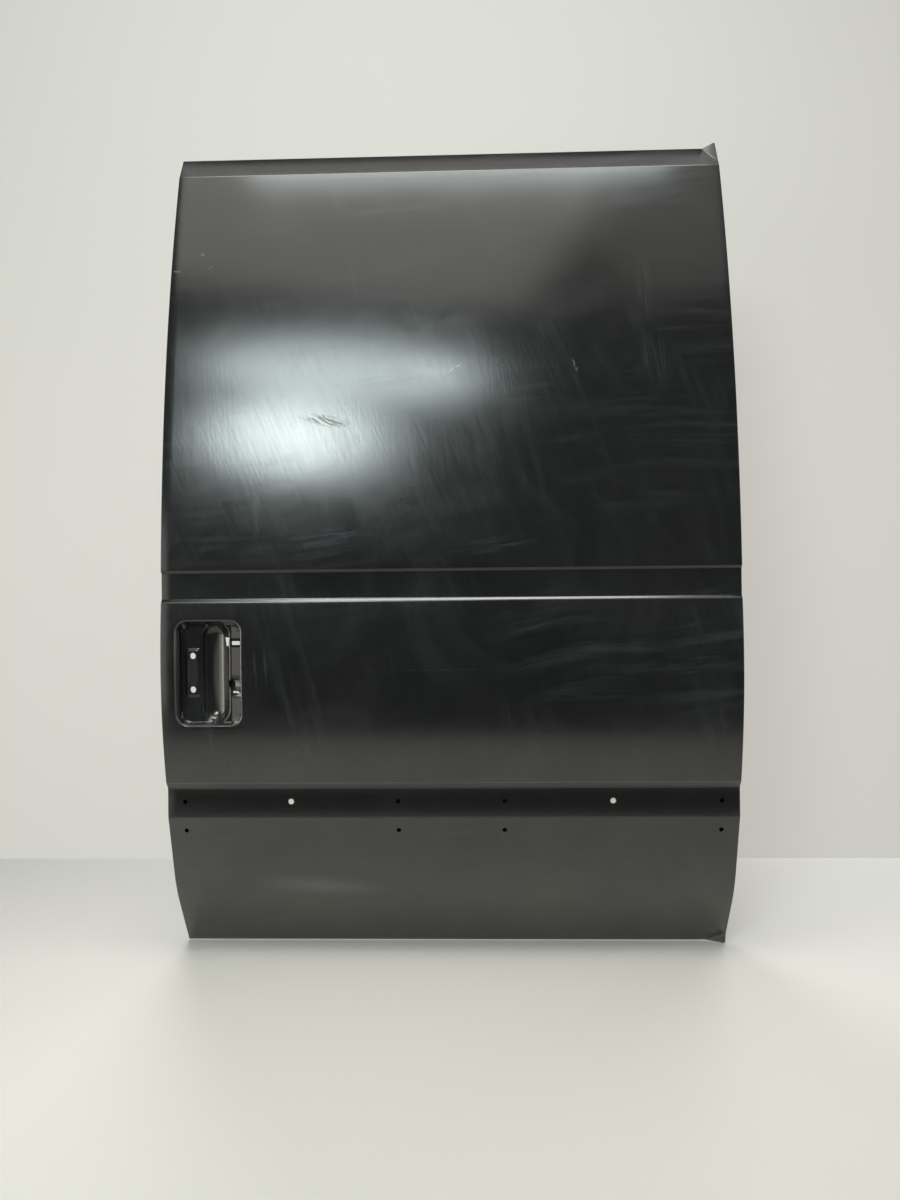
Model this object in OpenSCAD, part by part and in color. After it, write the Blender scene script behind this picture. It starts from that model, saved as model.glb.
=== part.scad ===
// Sliding side door of a large panel van, as a bare pressed-steel shell:
// a stretched outer skin hemmed over an inner frame, with no window, trim or hardware.
// X runs along the van (handle edge at -X), the outside faces -Y, and Z is up.
// The origin lies on the flat seat of the middle roller bracket, at waist height by the rear edge.

/* [Door outline] */
// Width of the door over its hemmed edges
door_w = 1130; // [900:1:1400]
// Height of the top edge above the waist line
top_rise = 945; // [760:1:1200]
// Depth of the bottom edge below the waist line
bottom_drop = 716; // [590:1:880]

/* [Side section] */
// Radius of the side above the waist band
upper_r = 3500; // [2800:50:6000]
// Height at which that radius would stand upright
upper_crown_z = -80; // [-120:1:-40]
// Depth of its crown behind the widest point of the door
upper_crown_y = 3.7; // [2:0.1:8]
// Radius of the side below the waist band
middle_r = 1100; // [800:50:2000]
// Height of the widest point of the door
middle_crown_z = -115; // [-150:1:-80]
// Height of the bend under the top edge, measured down from it
top_band_h = 48; // [38:1:70]
// Slope of the strip above that bend, from upright
top_band_angle = 30; // [24:1:38]
// Slope of the field below the rub strip, from upright
lower_angle = 15.5; // [10:0.5:20]
// Slope of the tucked-in sill part, from upright
tuck_angle = 31; // [24:0.5:40]
// Height of the sill part, up to the turn into the lower field
tuck_h = 131; // [106:1:158]
// Radius of that turn
tuck_r = 250; // [100:10:340]

/* [Pressed bands] */
// Height of the recessed band along the waist
waist_band_h = 62; // [44:1:84]
// Depth of that band
waist_band_depth = 4.8; // [3:0.1:7]
// Height of each of its slanted edges
waist_band_edge = 5; // [4:0.5:7]
// Height of the lip above the rub strip's seat
rub_lip_z = -358; // [-430:1:-296]
// Height of the slanted step under that lip
rub_step_h = 12; // [10:0.5:16]
// Height of the flat seat of the rub strip
rub_seat_h = 58; // [46:1:76]
// Depth of the seat behind that lip
rub_seat_depth = 9.8; // [8:0.2:12]
// Bend radius of the pressed edges
press_r = 4; // [3:0.5:5]

/* [Sheet steel] */
// Thickness of the outer skin
skin_t = 0.8; // [0.6:0.1:1.2]
// Thickness of the inner pressings
frame_t = 1; // [0.8:0.1:1.5]
// Thickness of the bolted-on reinforcements
plate_t = 3; // [2:0.5:4]
// Width of the skin's hem round the edge
hem_w = 12; // [9:0.5:15]
// Thickness of the mastic between the braces and the skin
mastic_t = 3; // [2:0.5:4]
// Thickness of the adhesive in the hem, on each side of the flange
hem_glue_t = 0.1; // [0.05:0.01:0.2]
// Clearance between sheets that are laid on each other
lay_gap = 0.05; // [0.02:0.01:0.1]
// Clearance at the ends of the stiles' faces
end_gap = 0.6; // [0.4:0.1:0.9]

/* [Inner frame] */
// Depth from the outer surface to the inner face of the stiles
frame_depth = 45; // [37:1:60]
// Width of the welding flange round the frame
flange_w = 19; // [16:1:24]
// Width of the front and rear stiles
stile_w = 100; // [82:1:130]
// Height of the top rail
top_rail_h = 84; // [68:1:110]
// Height of the bottom rail
bottom_rail_h = 104; // [84:1:130]
// How far the faces of the rails lap over the stiles
lap_w = 24; // [18:1:30]
// Depth of the stiffening return round openings
return_h = 12; // [8:1:16]

/* [Flat land and waist rail] */
// Depth of the outer reference line of the upright flat land across the waist
land_y = 4.5; // [3.6:0.1:6]
// How far the waist rail reaches below the waist band
rail_under = 12; // [9:1:15]
// How far the waist rail reaches above the waist band
rail_over = 30; // [24:1:36]
// Width of the glued flanges of the rail and braces
glue_w = 15; // [12:1:18]

/* [Upper braces] */
// Height of each brace
brace_h = 64; // [50:1:90]
// Radius of the rounded corners where rails and braces meet the stiles
flare_r = 24; // [18:1:30]
// Radius of the lightening holes in the braces
light_hole_r = 13; // [9:1:18]

/* [Lower inner panel] */
// Distance from the inner edge of a stile to its access opening
access_in = 59; // [48:1:72]
// Least strip of panel between the lock opening and an access opening
lock_strip = 24; // [18:1:30]
// Distance from the centre post's channel to an access opening
access_post = 92; // [76:1:112]
// Distance from the waist rail down to the access openings
access_under = 86; // [70:1:104]
// Distance from the bottom rail up to the access openings
access_over = 143; // [118:1:172]
// Corner radius of the access openings
access_r = 45; // [30:1:60]
// Width of the centre post's channel
post_w = 90; // [70:1:110]
// Clearance at the ends of the centre post
post_gap = 8; // [6:1:12]
// Height of the raised swages that stiffen the panel
swage_h = 34; // [26:1:42]
// How far they stand up from the panel
swage_d = 3; // [2:0.5:4]

/* [Handle pocket] */
// Width of the opening in the skin
pocket_w = 127; // [105:1:154]
// Height of the opening in the skin
pocket_h = 204; // [168:1:246]
// Corner radius of the opening
pocket_r = 22; // [16:1:30]
// Gap between the pocket's flange and the frame round it
pocket_gap = 3; // [2:0.5:4]
// Depth of the plane on which the pocket's flange seats
pocket_seat_y = 12; // [10:0.5:15]
// Width of that flange
pocket_flange_w = 7; // [5:0.5:9]
// Thickness of the pocket pressing
pocket_t = 1; // [0.8:0.1:1.2]
// Depth of the floor beside the screw pad
floor_y = 27; // [24:0.5:31]
// How far the screw pad stands up from the floor
pad_rise = 3; // [2:0.5:4]
// Width of the screw pad
pad_w = 21; // [18:0.5:25]
// How far the screw pad reaches past the screw holes' middles
pad_over = 11; // [9:0.5:13]
// Depth of the ledge beside the finger scoop
ledge_y = 21; // [18:0.5:24]
// Depth of the bottom of the finger scoop
scoop_y = 43; // [38:0.5:52]
// Radius of the finger scoop
scoop_r = 30; // [27:0.5:32]
// Distance of the scoop's middle from the side of the pocket
scoop_in = 71; // [66:1:74]
// Radius of the two handle screw holes
handle_hole_r = 6.3; // [5:0.1:7.6]
// Distance between the two handle screw holes
handle_hole_pitch = 66.7; // [54:0.1:80]
// Distance of the screw holes from the side of the pocket
handle_hole_in = 26.5; // [24:0.5:30]

/* [Clip holes] */
// Radius of the small clip holes
clip_r = 4.5; // [3.5:0.1:5.5]
// Radius of the large clip holes
big_clip_r = 5.5; // [4.5:0.1:6.6]
// Distance of the outer clips from the door's edges
clip_edge = 35; // [29:1:42]
// Distance of the inner clips from the middle of the door
clip_inner_x = 105; // [86:1:126]
// Distance of the large clips from the middle of the door
clip_big_x = 318; // [262:1:384]
// Distance of the upper row below the upper edge of the rub strip's seat
clip_upper_drop = 27; // [22:1:32]
// Distance of the lower row below the seat
clip_lower_drop = 28; // [22:1:34]

/* [Brackets and lock] */
// Radius of the bracket bolt holes
bolt_r = 4.5; // [3.7:0.1:5.5]
// Width of the middle roller bracket's plate
bracket_w = 66; // [54:1:80]
// Height of the middle roller bracket's plate
bracket_h = 110; // [90:1:134]
// Height of the plate's middle
bracket_z = 34; // [24:1:44]
// Distance between the bracket's bolts across the door
bracket_dx = 36; // [28:1:46]
// Distance between the bracket's bolts up the door
bracket_dz = 70; // [56:1:86]
// Width of the roller arm plates
arm_plate_w = 84; // [68:1:102]
// Height of the upper arm's plate
upper_arm_h = 44; // [36:1:54]
// Height of the lower arm's plate
lower_arm_h = 60; // [50:1:72]
// Distance between the two bolts of a roller arm
arm_bolt_pitch = 52; // [42:1:64]
// Radius of the lock's screw holes
lock_hole_r = 3.4; // [2.8:0.1:4.2]
// Distance between the lock's screw holes
lock_hole_pitch = 84; // [68:1:102]

/* [Trim holes] */
// Radius of the trim clip holes in the frame
trim_hole_r = 4; // [3:0.1:5]
// Distance of the panel's trim holes from its upper and lower edges
trim_edge = 14; // [11:1:17]
// Greatest distance between neighbouring trim holes
trim_pitch = 150; // [120:5:200]

/* [Bent corners] */
// Width of the bent flap at the top rear corner
top_flap_w = 31; // [20:1:38]
// Height of that flap
top_flap_h = 40; // [25:1:48]
// How far it's bent outwards
top_flap_angle = 48; // [10:1:60]
// Width of the bent flap at the bottom rear corner
bottom_flap_w = 50; // [30:1:60]
// Height of that flap
bottom_flap_h = 22; // [14:1:28]
// How far it's bent outwards
bottom_flap_angle = 55; // [10:1:66]

/* [Hidden] */
$fn = 48;

ecoat = "#1d1f20";
ecoat_frame = "#232627";
mastic_colour = "#101010";
half_w = door_w / 2;
top_z = top_rise;
bottom_z = -bottom_drop;
bend_z = top_z - top_band_h;
flange_d = skin_t + hem_glue_t;
hem_gap = flange_d + frame_t + hem_glue_t;
lap_d = frame_depth + lay_gap;
hem_t = hem_gap + skin_t;
wall_x = half_w - flange_w;
stile_x = wall_x - stile_w;
far = 3000;

// The reference heights of the frame's end walls.
rail_wall_top = top_z - flange_w;
rail_wall_bottom = bottom_z + flange_w;
rail_low_top = rail_wall_top - top_rail_h;
rail_high_bottom = rail_wall_bottom + bottom_rail_h;

// The waist rail covers the waist band, and the land is flat behind rail and bracket.
waist_low = -rail_under;
waist_high = waist_band_h + rail_over;
land_low = min(waist_low - 23, bracket_z - bracket_h / 2 - 4);
land_high = max(waist_high + 8, bracket_z + bracket_h / 2 + 4);

// The braces divide the space between waist rail and top rail evenly.
bay_h = (rail_low_top - waist_high - 2 * brace_h) / 3;
brace_low_z = waist_high + bay_h + brace_h / 2;
brace_high_z = waist_high + 2 * bay_h + brace_h * 1.5;

// The pocket's middle: clear of the front edge wall and of the waist rail's flange.
pocket_x = -wall_x + frame_t + pocket_gap + pocket_flange_w + pocket_w / 2;
pocket_z = waist_low - glue_w - pocket_gap - pocket_flange_w - pocket_h / 2;
handle_hole_x = pocket_w / 2 - handle_hole_in;
scoop_x = scoop_in - pocket_w / 2;

// The seat on which the whole door hangs: the bracket's plate, beside the waist rail's end.
bracket_x = stile_x + lap_w + bracket_w / 2;
seat_y = land_y + frame_depth + plate_t;
origin = [bracket_x, seat_y, bracket_z];

function unit(v) = v / norm(v);
// Points of an outline are kept to a hundredth, so that neighbouring sheets share them.
function snapped(list) = [for (p = list) [round(p[0] * 100) / 100, round(p[1] * 100) / 100]];
function reversed(list) = [for (i = [len(list) - 1 : -1 : 0]) list[i]];

// Depth of a round field of the side at a height: crown depth, radius and crown height.
function round_y(z, crown_y, r, crown_z) = crown_y + r - sqrt(r * r - pow(z - crown_z, 2));
function upper_y(z) = round_y(z, upper_crown_y, upper_r, upper_crown_z);
function middle_y(z) = round_y(z, 0, middle_r, middle_crown_z);
function field(z0, z1, steps, middle) = [
    for (i = [0 : steps])
        let (z = z0 + (z1 - z0) * i / steps)
        [middle ? middle_y(z) : upper_y(z), z]
];

// A corner of an outline replaced by an arc of radius r, in a number of steps.
function eased(a, b, c, r, steps) =
    let (
        u = unit(a - b),
        v = unit(c - b),
        half = acos(u * v) / 2,
        m = b + unit(u + v) * r / sin(half),
        s = b + u * r / tan(half) - m,
        e = b + v * r / tan(half) - m
    )
    [for (i = [0 : steps]) m + r * unit(s * (1 - i / steps) + e * i / steps)];

// The outer line of the door's section, as [depth, height] from the bottom edge to the top edge.
// It has a point at the fold and at the end of each hem, which the hem's own sheets share.
lip_y = middle_y(rub_lip_z);
rub_seat_y = lip_y + rub_seat_depth;
tuck_z = bottom_z + tuck_h;
seat_low = rub_lip_z - rub_step_h - rub_seat_h;
tuck_y = rub_seat_y + (seat_low - tuck_z) * tan(lower_angle);
foot = [tuck_y + (tuck_z - bottom_z) * tan(tuck_angle), bottom_z];
crown = [upper_y(bend_z) + top_band_h * tan(top_band_angle), top_z];
band_low = waist_band_edge;
band_high = waist_band_h - waist_band_edge;
corner_tuck = [tuck_y, tuck_z];
corner_seat = [rub_seat_y, seat_low];
corner_step = [rub_seat_y, rub_lip_z - rub_step_h];
corner_lip = [lip_y, rub_lip_z];
corner_bend = [upper_y(bend_z), bend_z];
above_lip = [middle_y(rub_lip_z + 12), rub_lip_z + 12];
under_bend = [upper_y(bend_z - 20), bend_z - 20];
band_floor_low = [middle_y(0) + waist_band_depth, band_low];
band_floor_high = [upper_y(waist_band_h) + waist_band_depth, band_high];

function toward(a, b, rise) = a + (b - a) * rise / abs(b[1] - a[1]);
function section_line(r) = concat(
    [foot, toward(foot, corner_tuck, skin_t), toward(foot, corner_tuck, hem_w)],
    eased(foot, corner_tuck, corner_seat, tuck_r, 5),
    eased(corner_tuck, corner_seat, corner_step, r, 2),
    eased(corner_seat, corner_step, corner_lip, r, 3),
    eased(corner_step, corner_lip, above_lip, r, 4),
    field(rub_lip_z + 12, 0, 14, true),
    [band_floor_low, band_floor_high],
    field(waist_band_h, bend_z - 20, 18, false),
    eased(under_bend, corner_bend, crown, r, 2),
    [toward(crown, corner_bend, hem_w), toward(crown, corner_bend, skin_t), crown]
);
section = section_line(press_r);
// The same line for what stands off the skin on mastic, with bends as much larger.
glue_d = skin_t + mastic_t;
glue_line = section_line(press_r + glue_d + frame_t);

// The smoother line that the inner frame follows: an upright land across the waist,
// and straight stretches behind the top and bottom rails, where the roller arms seat.
frame_line = concat(
    [foot],
    eased(foot, corner_tuck, [middle_y(rub_lip_z + 20), rub_lip_z + 20], tuck_r, 5),
    field(rub_lip_z + 20, land_low - 30, 8, true),
    [[land_y, land_low], [land_y, land_high]],
    field(land_high + 55, rail_low_top - 6, 13, false),
    [crown]
);

clip_upper_z = seat_low + rub_seat_h - clip_upper_drop;
clip_lower_z = seat_low - clip_lower_drop;

function y_at(line, z) = lookup(z, [for (p = line) [p[1], p[0]]]);
function part_of(line, z0, z1) = concat(
    [[y_at(line, z0), z0]],
    [for (p = line) if (p[1] > z0 + 0.05 && p[1] < z1 - 0.05) p],
    [[y_at(line, z1), z1]]
);

// A line moved inwards by a distance, square to each of its straight pieces.
function inward(v) = [v[1], -v[0]];
function moved_in(line, d) = snapped([
    for (i = [0 : len(line) - 1])
        let (
            last = len(line) - 1,
            u = unit(line[min(i + 1, last)] - line[min(i, last - 1)]),
            w = unit(line[max(i, 1)] - line[max(i - 1, 0)]),
            n = inward(u) + inward(w)
        )
        line[i] + n * d / (1 + u * w)
]);

module along_door(x0, x1) {
    translate([x0, 0, 0])
        rotate([90, 0, 90])
            linear_extrude(height = x1 - x0)
                children();
}

// Sheet that follows one line between two depths below it, from x0 to x1.
module sheet(line, d0, d1, x0, x1) {
    along_door(x0, x1)
        polygon(concat(moved_in(line, d0), reversed(moved_in(line, d1))));
}

// Web that joins the skin's line to the frame's line between two heights.
module web(z0, z1, d0, d1, x0, x1, outer = section) {
    along_door(x0, x1)
        polygon(concat(
            moved_in(part_of(outer, z0, z1), d0),
            reversed(moved_in(part_of(frame_line, z0, z1), d1))
        ));
}

// Rounded rectangle as a prism through the door, round a middle, from depth y0 to y1.
module window(w, h, r, x, z, y0, y1) {
    translate([x, y1, z])
        rotate([90, 0, 0])
            linear_extrude(height = y1 - y0)
                union() {
                    square([w - 2 * r, h], center = true);
                    square([w, h - 2 * r], center = true);
                    for (sx = [-1, 1], sz = [-1, 1])
                        translate([sx * (w / 2 - r), sz * (h / 2 - r)])
                            circle(r);
                }
}

module bore(x, y0, z, r, length) {
    translate([x, y0 + length, z])
        rotate([90, 0, 0])
            cylinder(h = length, r = r);
}

// Bead of mastic between the skin and what stands off it.
module bead(z0, z1, x0, x1) {
    along_door(x0, x1)
        polygon(concat(
            moved_in(part_of(section, z0, z1), skin_t + lay_gap),
            reversed(moved_in(part_of(glue_line, z0, z1), glue_d - lay_gap))
        ));
}

// The whole width of the door between two heights, as a block to cut other shapes with.
module slab(x0, x1, z0, z1) {
    translate([x0, -far / 10, z0])
        cube([x1 - x0, far / 5, z1 - z0]);
}

// A layer of the door between two depths of a line, over its whole width.
module layer(line, d0, d1) {
    sheet(line, d0, d1, -half_w, half_w);
}

// Face of a rail or brace that widens at both ends, with rounded corners to the stiles.
module flared_face(line, z0, z1, up, down) {
    x = stile_x + lap_w;
    intersection() {
        layer(line, lap_d, lap_d + frame_t);
        translate([0, far / 10, 0])
            rotate([90, 0, 0])
                linear_extrude(height = far / 5) {
                    translate([-x, z0])
                        square([2 * x, z1 - z0]);
                    for (side = [0, 1])
                        mirror([side, 0]) {
                            if (up)
                                end_flare(z1, 1);
                            if (down)
                                end_flare(z0, -1);
                        }
                }
    }
}

module end_flare(z, s) {
    low = min(z, z + s * flare_r);
    difference() {
        translate([stile_x - flare_r, low])
            square([flare_r + lap_w, flare_r]);
        translate([stile_x - flare_r, z + s * flare_r])
            circle(flare_r);
    }
}

// Three-cornered prism over a rear corner of the door, with a clearance on its crease.
module corner_prism(z, w, h, gap) {
    x = half_w + 1;
    s = sign(z);
    rise = s * (h + gap) * (w + gap + 1) / (w + gap);
    translate([0, far / 10, 0])
        rotate([90, 0, 0])
            linear_extrude(height = far / 5)
                polygon([
                    [x, z + s],
                    [x - w - gap - 1, z + s],
                    [x, z + s - rise]
                ]);
}

// Pieces of the skin bent outwards round the crease of a corner flap.
module with_bent_corner(z, w, h, angle) {
    s = sign(z);
    low = [half_w - w, y_at(section, z) + hem_t, z];
    high = [half_w, y_at(section, z - s * h) + hem_t, z - s * h];
    difference() {
        children();
        corner_prism(z, w, h, 0);
    }
    translate(low)
        rotate(a = angle * s, v = high - low)
            translate(-low)
                intersection() {
                    children();
                    corner_prism(z, w, h, 0);
                }
}

// Both rear corners of a frame piece cut back clear of the bent flaps, the front ones to match.
module with_cut_corners() {
    difference() {
        children();
        for (side = [0, 1])
            mirror([side, 0, 0]) {
                corner_prism(top_z, top_flap_w, top_flap_h, 4);
                corner_prism(bottom_z, bottom_flap_w, bottom_flap_h, 4);
            }
    }
}

// The skin: one stretched sheet, folded back over the frame's flange on all four edges.
module skin_sheet() {
    foot_strip = part_of(section, bottom_z, bottom_z + hem_w);
    foot_fold = part_of(section, bottom_z, bottom_z + skin_t);
    head_strip = part_of(section, top_z - hem_w, top_z);
    head_fold = part_of(section, top_z - skin_t, top_z);
    sheet(section, 0, skin_t, -half_w, half_w);
    sheet(foot_strip, hem_gap, hem_t, -half_w, half_w);
    sheet(foot_fold, 0, hem_t, -half_w, half_w);
    sheet(head_strip, hem_gap, hem_t, -half_w, half_w);
    sheet(head_fold, 0, hem_t, -half_w, half_w);
    for (side = [0, 1])
        mirror([side, 0, 0]) {
            sheet(section, hem_gap, hem_t, -half_w, -half_w + hem_w);
            sheet(section, 0, hem_t, -half_w, -half_w + skin_t);
        }
}

// The turned-in lip round the handle pocket, as deep as the pocket's seat.
module pocket_lip() {
    difference() {
        intersection() {
            window(pocket_w, pocket_h, pocket_r, pocket_x, pocket_z, -far / 10, pocket_seat_y);
            sheet(section, 0, 40, pocket_x - pocket_w, pocket_x + pocket_w);
        }
        window(
            pocket_w - 2 * skin_t, pocket_h - 2 * skin_t, pocket_r - skin_t,
            pocket_x, pocket_z, -far / 10, far / 10
        );
    }
}

module clip_holes() {
    for (side = [-1, 1]) {
        for (x = [half_w - clip_edge, clip_inner_x], z = [clip_upper_z, clip_lower_z])
            bore(side * x, 0, z, clip_r, 80);
        bore(side * clip_big_x, 0, clip_upper_z, big_clip_r, 80);
    }
}

module outer_skin() {
    color(ecoat)
        placed() {
            with_bent_corner(bottom_z, bottom_flap_w, bottom_flap_h, bottom_flap_angle)
                with_bent_corner(top_z, top_flap_w, top_flap_h, top_flap_angle)
                    difference() {
                        skin_sheet();
                        window(pocket_w, pocket_h, pocket_r, pocket_x, pocket_z, -far / 10, far / 10);
                        clip_holes();
                    }
            pocket_lip();
        }
}

// The pocket's inside: floor, ledge, and a round finger scoop with ball-shaped ends.
scoop_mid_y = scoop_y - scoop_r;
scoop_reach = pocket_h / 2 - scoop_r - skin_t;
pad_h = handle_hole_pitch + 2 * pad_over;
module scoop(grow) {
    translate([pocket_x + scoop_x, scoop_mid_y, pocket_z]) {
        translate([0, 0, -scoop_reach])
            cylinder(h = 2 * scoop_reach, r = scoop_r + grow);
        for (side = [-1, 1])
            translate([0, 0, side * scoop_reach])
                sphere(scoop_r + grow);
    }
}

module pad_block(grow) {
    window(
        pad_w - 2 * grow, pad_h - 2 * grow, 5 - grow, pocket_x - handle_hole_x, pocket_z,
        floor_y - pad_rise + grow, far / 10
    );
}

module pocket_space(grow, w, h, r) {
    difference() {
        intersection() {
            union() {
                translate([pocket_x, 0, pocket_z - pocket_h])
                    linear_extrude(height = 2 * pocket_h)
                        polygon([
                            [-pocket_w, pocket_seat_y],
                            [-pocket_w, floor_y + grow],
                            [scoop_x - 6, floor_y + grow],
                            [scoop_x + 6, ledge_y + grow],
                            [pocket_w, ledge_y + grow],
                            [pocket_w, pocket_seat_y]
                        ]);
                scoop(grow);
            }
            window(w, h, r, pocket_x, pocket_z, pocket_seat_y, far / 10);
        }
        pad_block(grow);
    }
}

module handle_holes() {
    for (side = [-1, 1])
        bore(
            pocket_x - handle_hole_x, floor_y - pad_rise - 10,
            pocket_z + side * handle_hole_pitch / 2, handle_hole_r, 40
        );
}

// Trapezoid, slot, crescent and round hole for the handle's lever, its pin and return spring.
// Their places are measured from the right side of the pocket, and from its middle up or down.
module lever_holes() {
    side_x = pocket_x + pocket_w / 2;
    translate([side_x - 32.5, 60, pocket_z + 52])
        rotate([90, 0, 0])
            linear_extrude(height = 60)
                polygon([[-4, 0], [4, 0], [7, 17], [-7, 17]]);
    translate([side_x - 21, 0, pocket_z + 54.5])
        cube([15.5, 60, 7.5]);
    bore(side_x - 22.5, 0, pocket_z - 22, 7.5, 60);
    intersection() {
        translate([side_x - 18, 0, pocket_z - 41])
            cube([12, 60, 11]);
        difference() {
            bore(side_x - 13, 0, pocket_z - 24, 17, 60);
            bore(side_x - 13, -1, pocket_z - 24, 12.5, 62);
        }
    }
}

module handle_pocket() {
    lip_w = pocket_w - 2 * skin_t;
    lip_h = pocket_h - 2 * skin_t;
    lip_r = pocket_r - skin_t;
    color(ecoat)
        placed()
            difference() {
                union() {
                    window(
                        pocket_w + 2 * pocket_flange_w, pocket_h + 2 * pocket_flange_w,
                        pocket_r + pocket_flange_w, pocket_x, pocket_z,
                        pocket_seat_y, pocket_seat_y + pocket_t
                    );
                    pocket_space(pocket_t, lip_w, lip_h, lip_r);
                }
                pocket_space(0, lip_w - 2 * pocket_t, lip_h - 2 * pocket_t, lip_r - pocket_t);
                handle_holes();
                lever_holes();
            }
}

// Thick plate behind the screw pad, which takes the handle's pull.
module handle_backing_plate() {
    color(ecoat_frame)
        placed()
            difference() {
                window(
                    pad_w + 9, pad_h + 22, 10, pocket_x - handle_hole_x, pocket_z,
                    floor_y + pocket_t + lay_gap, floor_y + pocket_t + plate_t
                );
                handle_holes();
            }
}

// Opening behind the handle, through which its rods and the lock are fitted.
lock_w = pocket_w - 4;
lock_x = pocket_x - 2;
module lock_opening() {
    window(lock_w, pocket_h + 2, pocket_r + 4, lock_x, pocket_z, -far / 10, far / 10);
}

// The access openings lie between stile, post and rails, and keep clear of the lock opening.
access_outer = min(stile_x - access_in, -lock_x - lock_w / 2 - lock_strip);
access_inner = post_w / 2 + access_post;
access_top = waist_low - access_under;
access_foot = rail_high_bottom + access_over;
access_w = access_outer - access_inner;
access_h = access_top - access_foot;
access_x = (access_outer + access_inner) / 2;
access_z = (access_top + access_foot) / 2;
module access_openings(grow) {
    for (side = [-1, 1])
        window(
            access_w + 2 * grow, access_h + 2 * grow, access_r + grow,
            side * access_x, access_z, -far / 10, far / 10
        );
}

// Trim clip holes in a row, evenly spread and no further apart than the pitch.
module hole_row(x0, x1, z) {
    steps = ceil((x1 - x0) / trim_pitch);
    for (i = [0 : steps])
        bore(x0 + (x1 - x0) * i / steps, 0, z, trim_hole_r, far / 10);
}

module hole_column(x, z0, z1) {
    steps = ceil((z1 - z0) / trim_pitch);
    for (i = [0 : steps])
        bore(x, 0, z0 + (z1 - z0) * i / steps, trim_hole_r, far / 10);
}

// The columns in a stile's face, clear of the rails' laps, the braces and the bracket.
module stile_holes(side) {
    x = side * (wall_x - stile_w / 2);
    margin = flare_r + 16;
    hole_column(x, land_high + margin, brace_low_z - brace_h / 2 - margin);
    hole_column(x, brace_low_z + brace_h / 2 + margin, brace_high_z - brace_h / 2 - margin);
    hole_column(x, brace_high_z + brace_h / 2 + margin, rail_low_top - margin);
    hole_column(x, rail_high_bottom + margin, pocket_z - pocket_h / 2 - margin);
}

// A stile of folded sheet: hem flange, edge wall, inner face and a return along the opening.
module stile_blank() {
    low = rail_wall_bottom + frame_t + end_gap;
    high = rail_wall_top - frame_t - end_gap;
    flange_line = part_of(section, bottom_z + skin_t, top_z - skin_t);
    face_line = part_of(frame_line, low, high);
    with_cut_corners()
        sheet(flange_line, flange_d, flange_d + frame_t, -half_w + skin_t, -wall_x + frame_t);
    web(low, high, flange_d, frame_depth, -wall_x, -wall_x + frame_t);
    sheet(face_line, frame_depth - frame_t, frame_depth, -wall_x, -stile_x);
    sheet(face_line, frame_depth - return_h, frame_depth, -stile_x - frame_t, -stile_x);
}

module lock_holes() {
    for (side = [-1, 1])
        translate([-wall_x - 20, land_y + 28, pocket_z + side * lock_hole_pitch / 2])
            rotate([0, 90, 0])
                cylinder(h = 40, r = lock_hole_r);
    translate([-wall_x - 20, land_y + 22, pocket_z - 18])
        cube([40, 12, 36]);
}

module front_stile() {
    color(ecoat_frame)
        placed()
            difference() {
                stile_blank();
                intersection() {
                    lock_opening();
                    translate([-half_w, 30, -far / 2])
                        cube([half_w, far, far]);
                }
                lock_holes();
                upper_arm_holes();
                lower_arm_holes();
                stile_holes(-1);
            }
}

// The rear stile is of two lengths, welded edge to edge above the roller bracket.
stile_seam_z = land_high + (flare_r + 16) / 2;
module rear_stile_blank(low, high) {
    intersection() {
        mirror([1, 0, 0])
            stile_blank();
        slab(0, half_w, low, high);
    }
}

module lower_rear_stile() {
    color(ecoat_frame)
        placed()
            difference() {
                rear_stile_blank(-far, stile_seam_z);
                bracket_holes();
                catch_holes();
                stile_holes(1);
            }
}

module upper_rear_stile() {
    color(ecoat_frame)
        placed()
            difference() {
                rear_stile_blank(stile_seam_z, far);
                stile_holes(1);
            }
}

// A rail or brace of hat section: face, two webs, and flanges glued to the skin.
module cross_member(z0, z1, down = true) {
    x = stile_x - frame_t;
    flared_face(frame_line, z0, z1, true, down);
    for (z = [z0, z1 - frame_t])
        intersection() {
            along_door(-x, x)
                polygon(concat(
                    moved_in(glue_line, glue_d + frame_t / 2),
                    reversed(moved_in(frame_line, lap_d + frame_t / 2))
                ));
            slab(-x, x, z, z + frame_t);
        }
    intersection() {
        layer(glue_line, glue_d, glue_d + frame_t);
        union() {
            slab(-x, x, z0 - glue_w, z0 + frame_t);
            slab(-x, x, z1 - frame_t, z1 + glue_w);
        }
    }
}

// A brace: a cross member with three lightening holes in its face.
module brace(z) {
    difference() {
        cross_member(z - brace_h / 2, z + brace_h / 2);
        for (i = [-1 : 1])
            bore(i * bead_pitch, land_y + frame_depth / 2, z, light_hole_r, far / 10);
    }
}

// Four beads of mastic, which carry a brace's flanges on the skin without marking it.
bead_l = 150;
bead_first = -stile_x + 60;
bead_pitch = (-2 * bead_first - bead_l) / 3;
module mastic_beads(z0, z1) {
    color(mastic_colour)
        placed()
            for (i = [0 : 3], z = [z0 - glue_w + 2, z1 + 1]) {
                x = bead_first + i * bead_pitch;
                bead(z, z + glue_w - 3, x, x + bead_l);
            }
}

module waist_rail() {
    color(ecoat_frame)
        placed()
            cross_member(waist_low, waist_high, false);
}

module lower_brace() {
    color(ecoat_frame)
        placed()
            brace(brace_low_z);
}

module upper_brace() {
    color(ecoat_frame)
        placed()
            brace(brace_high_z);
}

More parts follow.
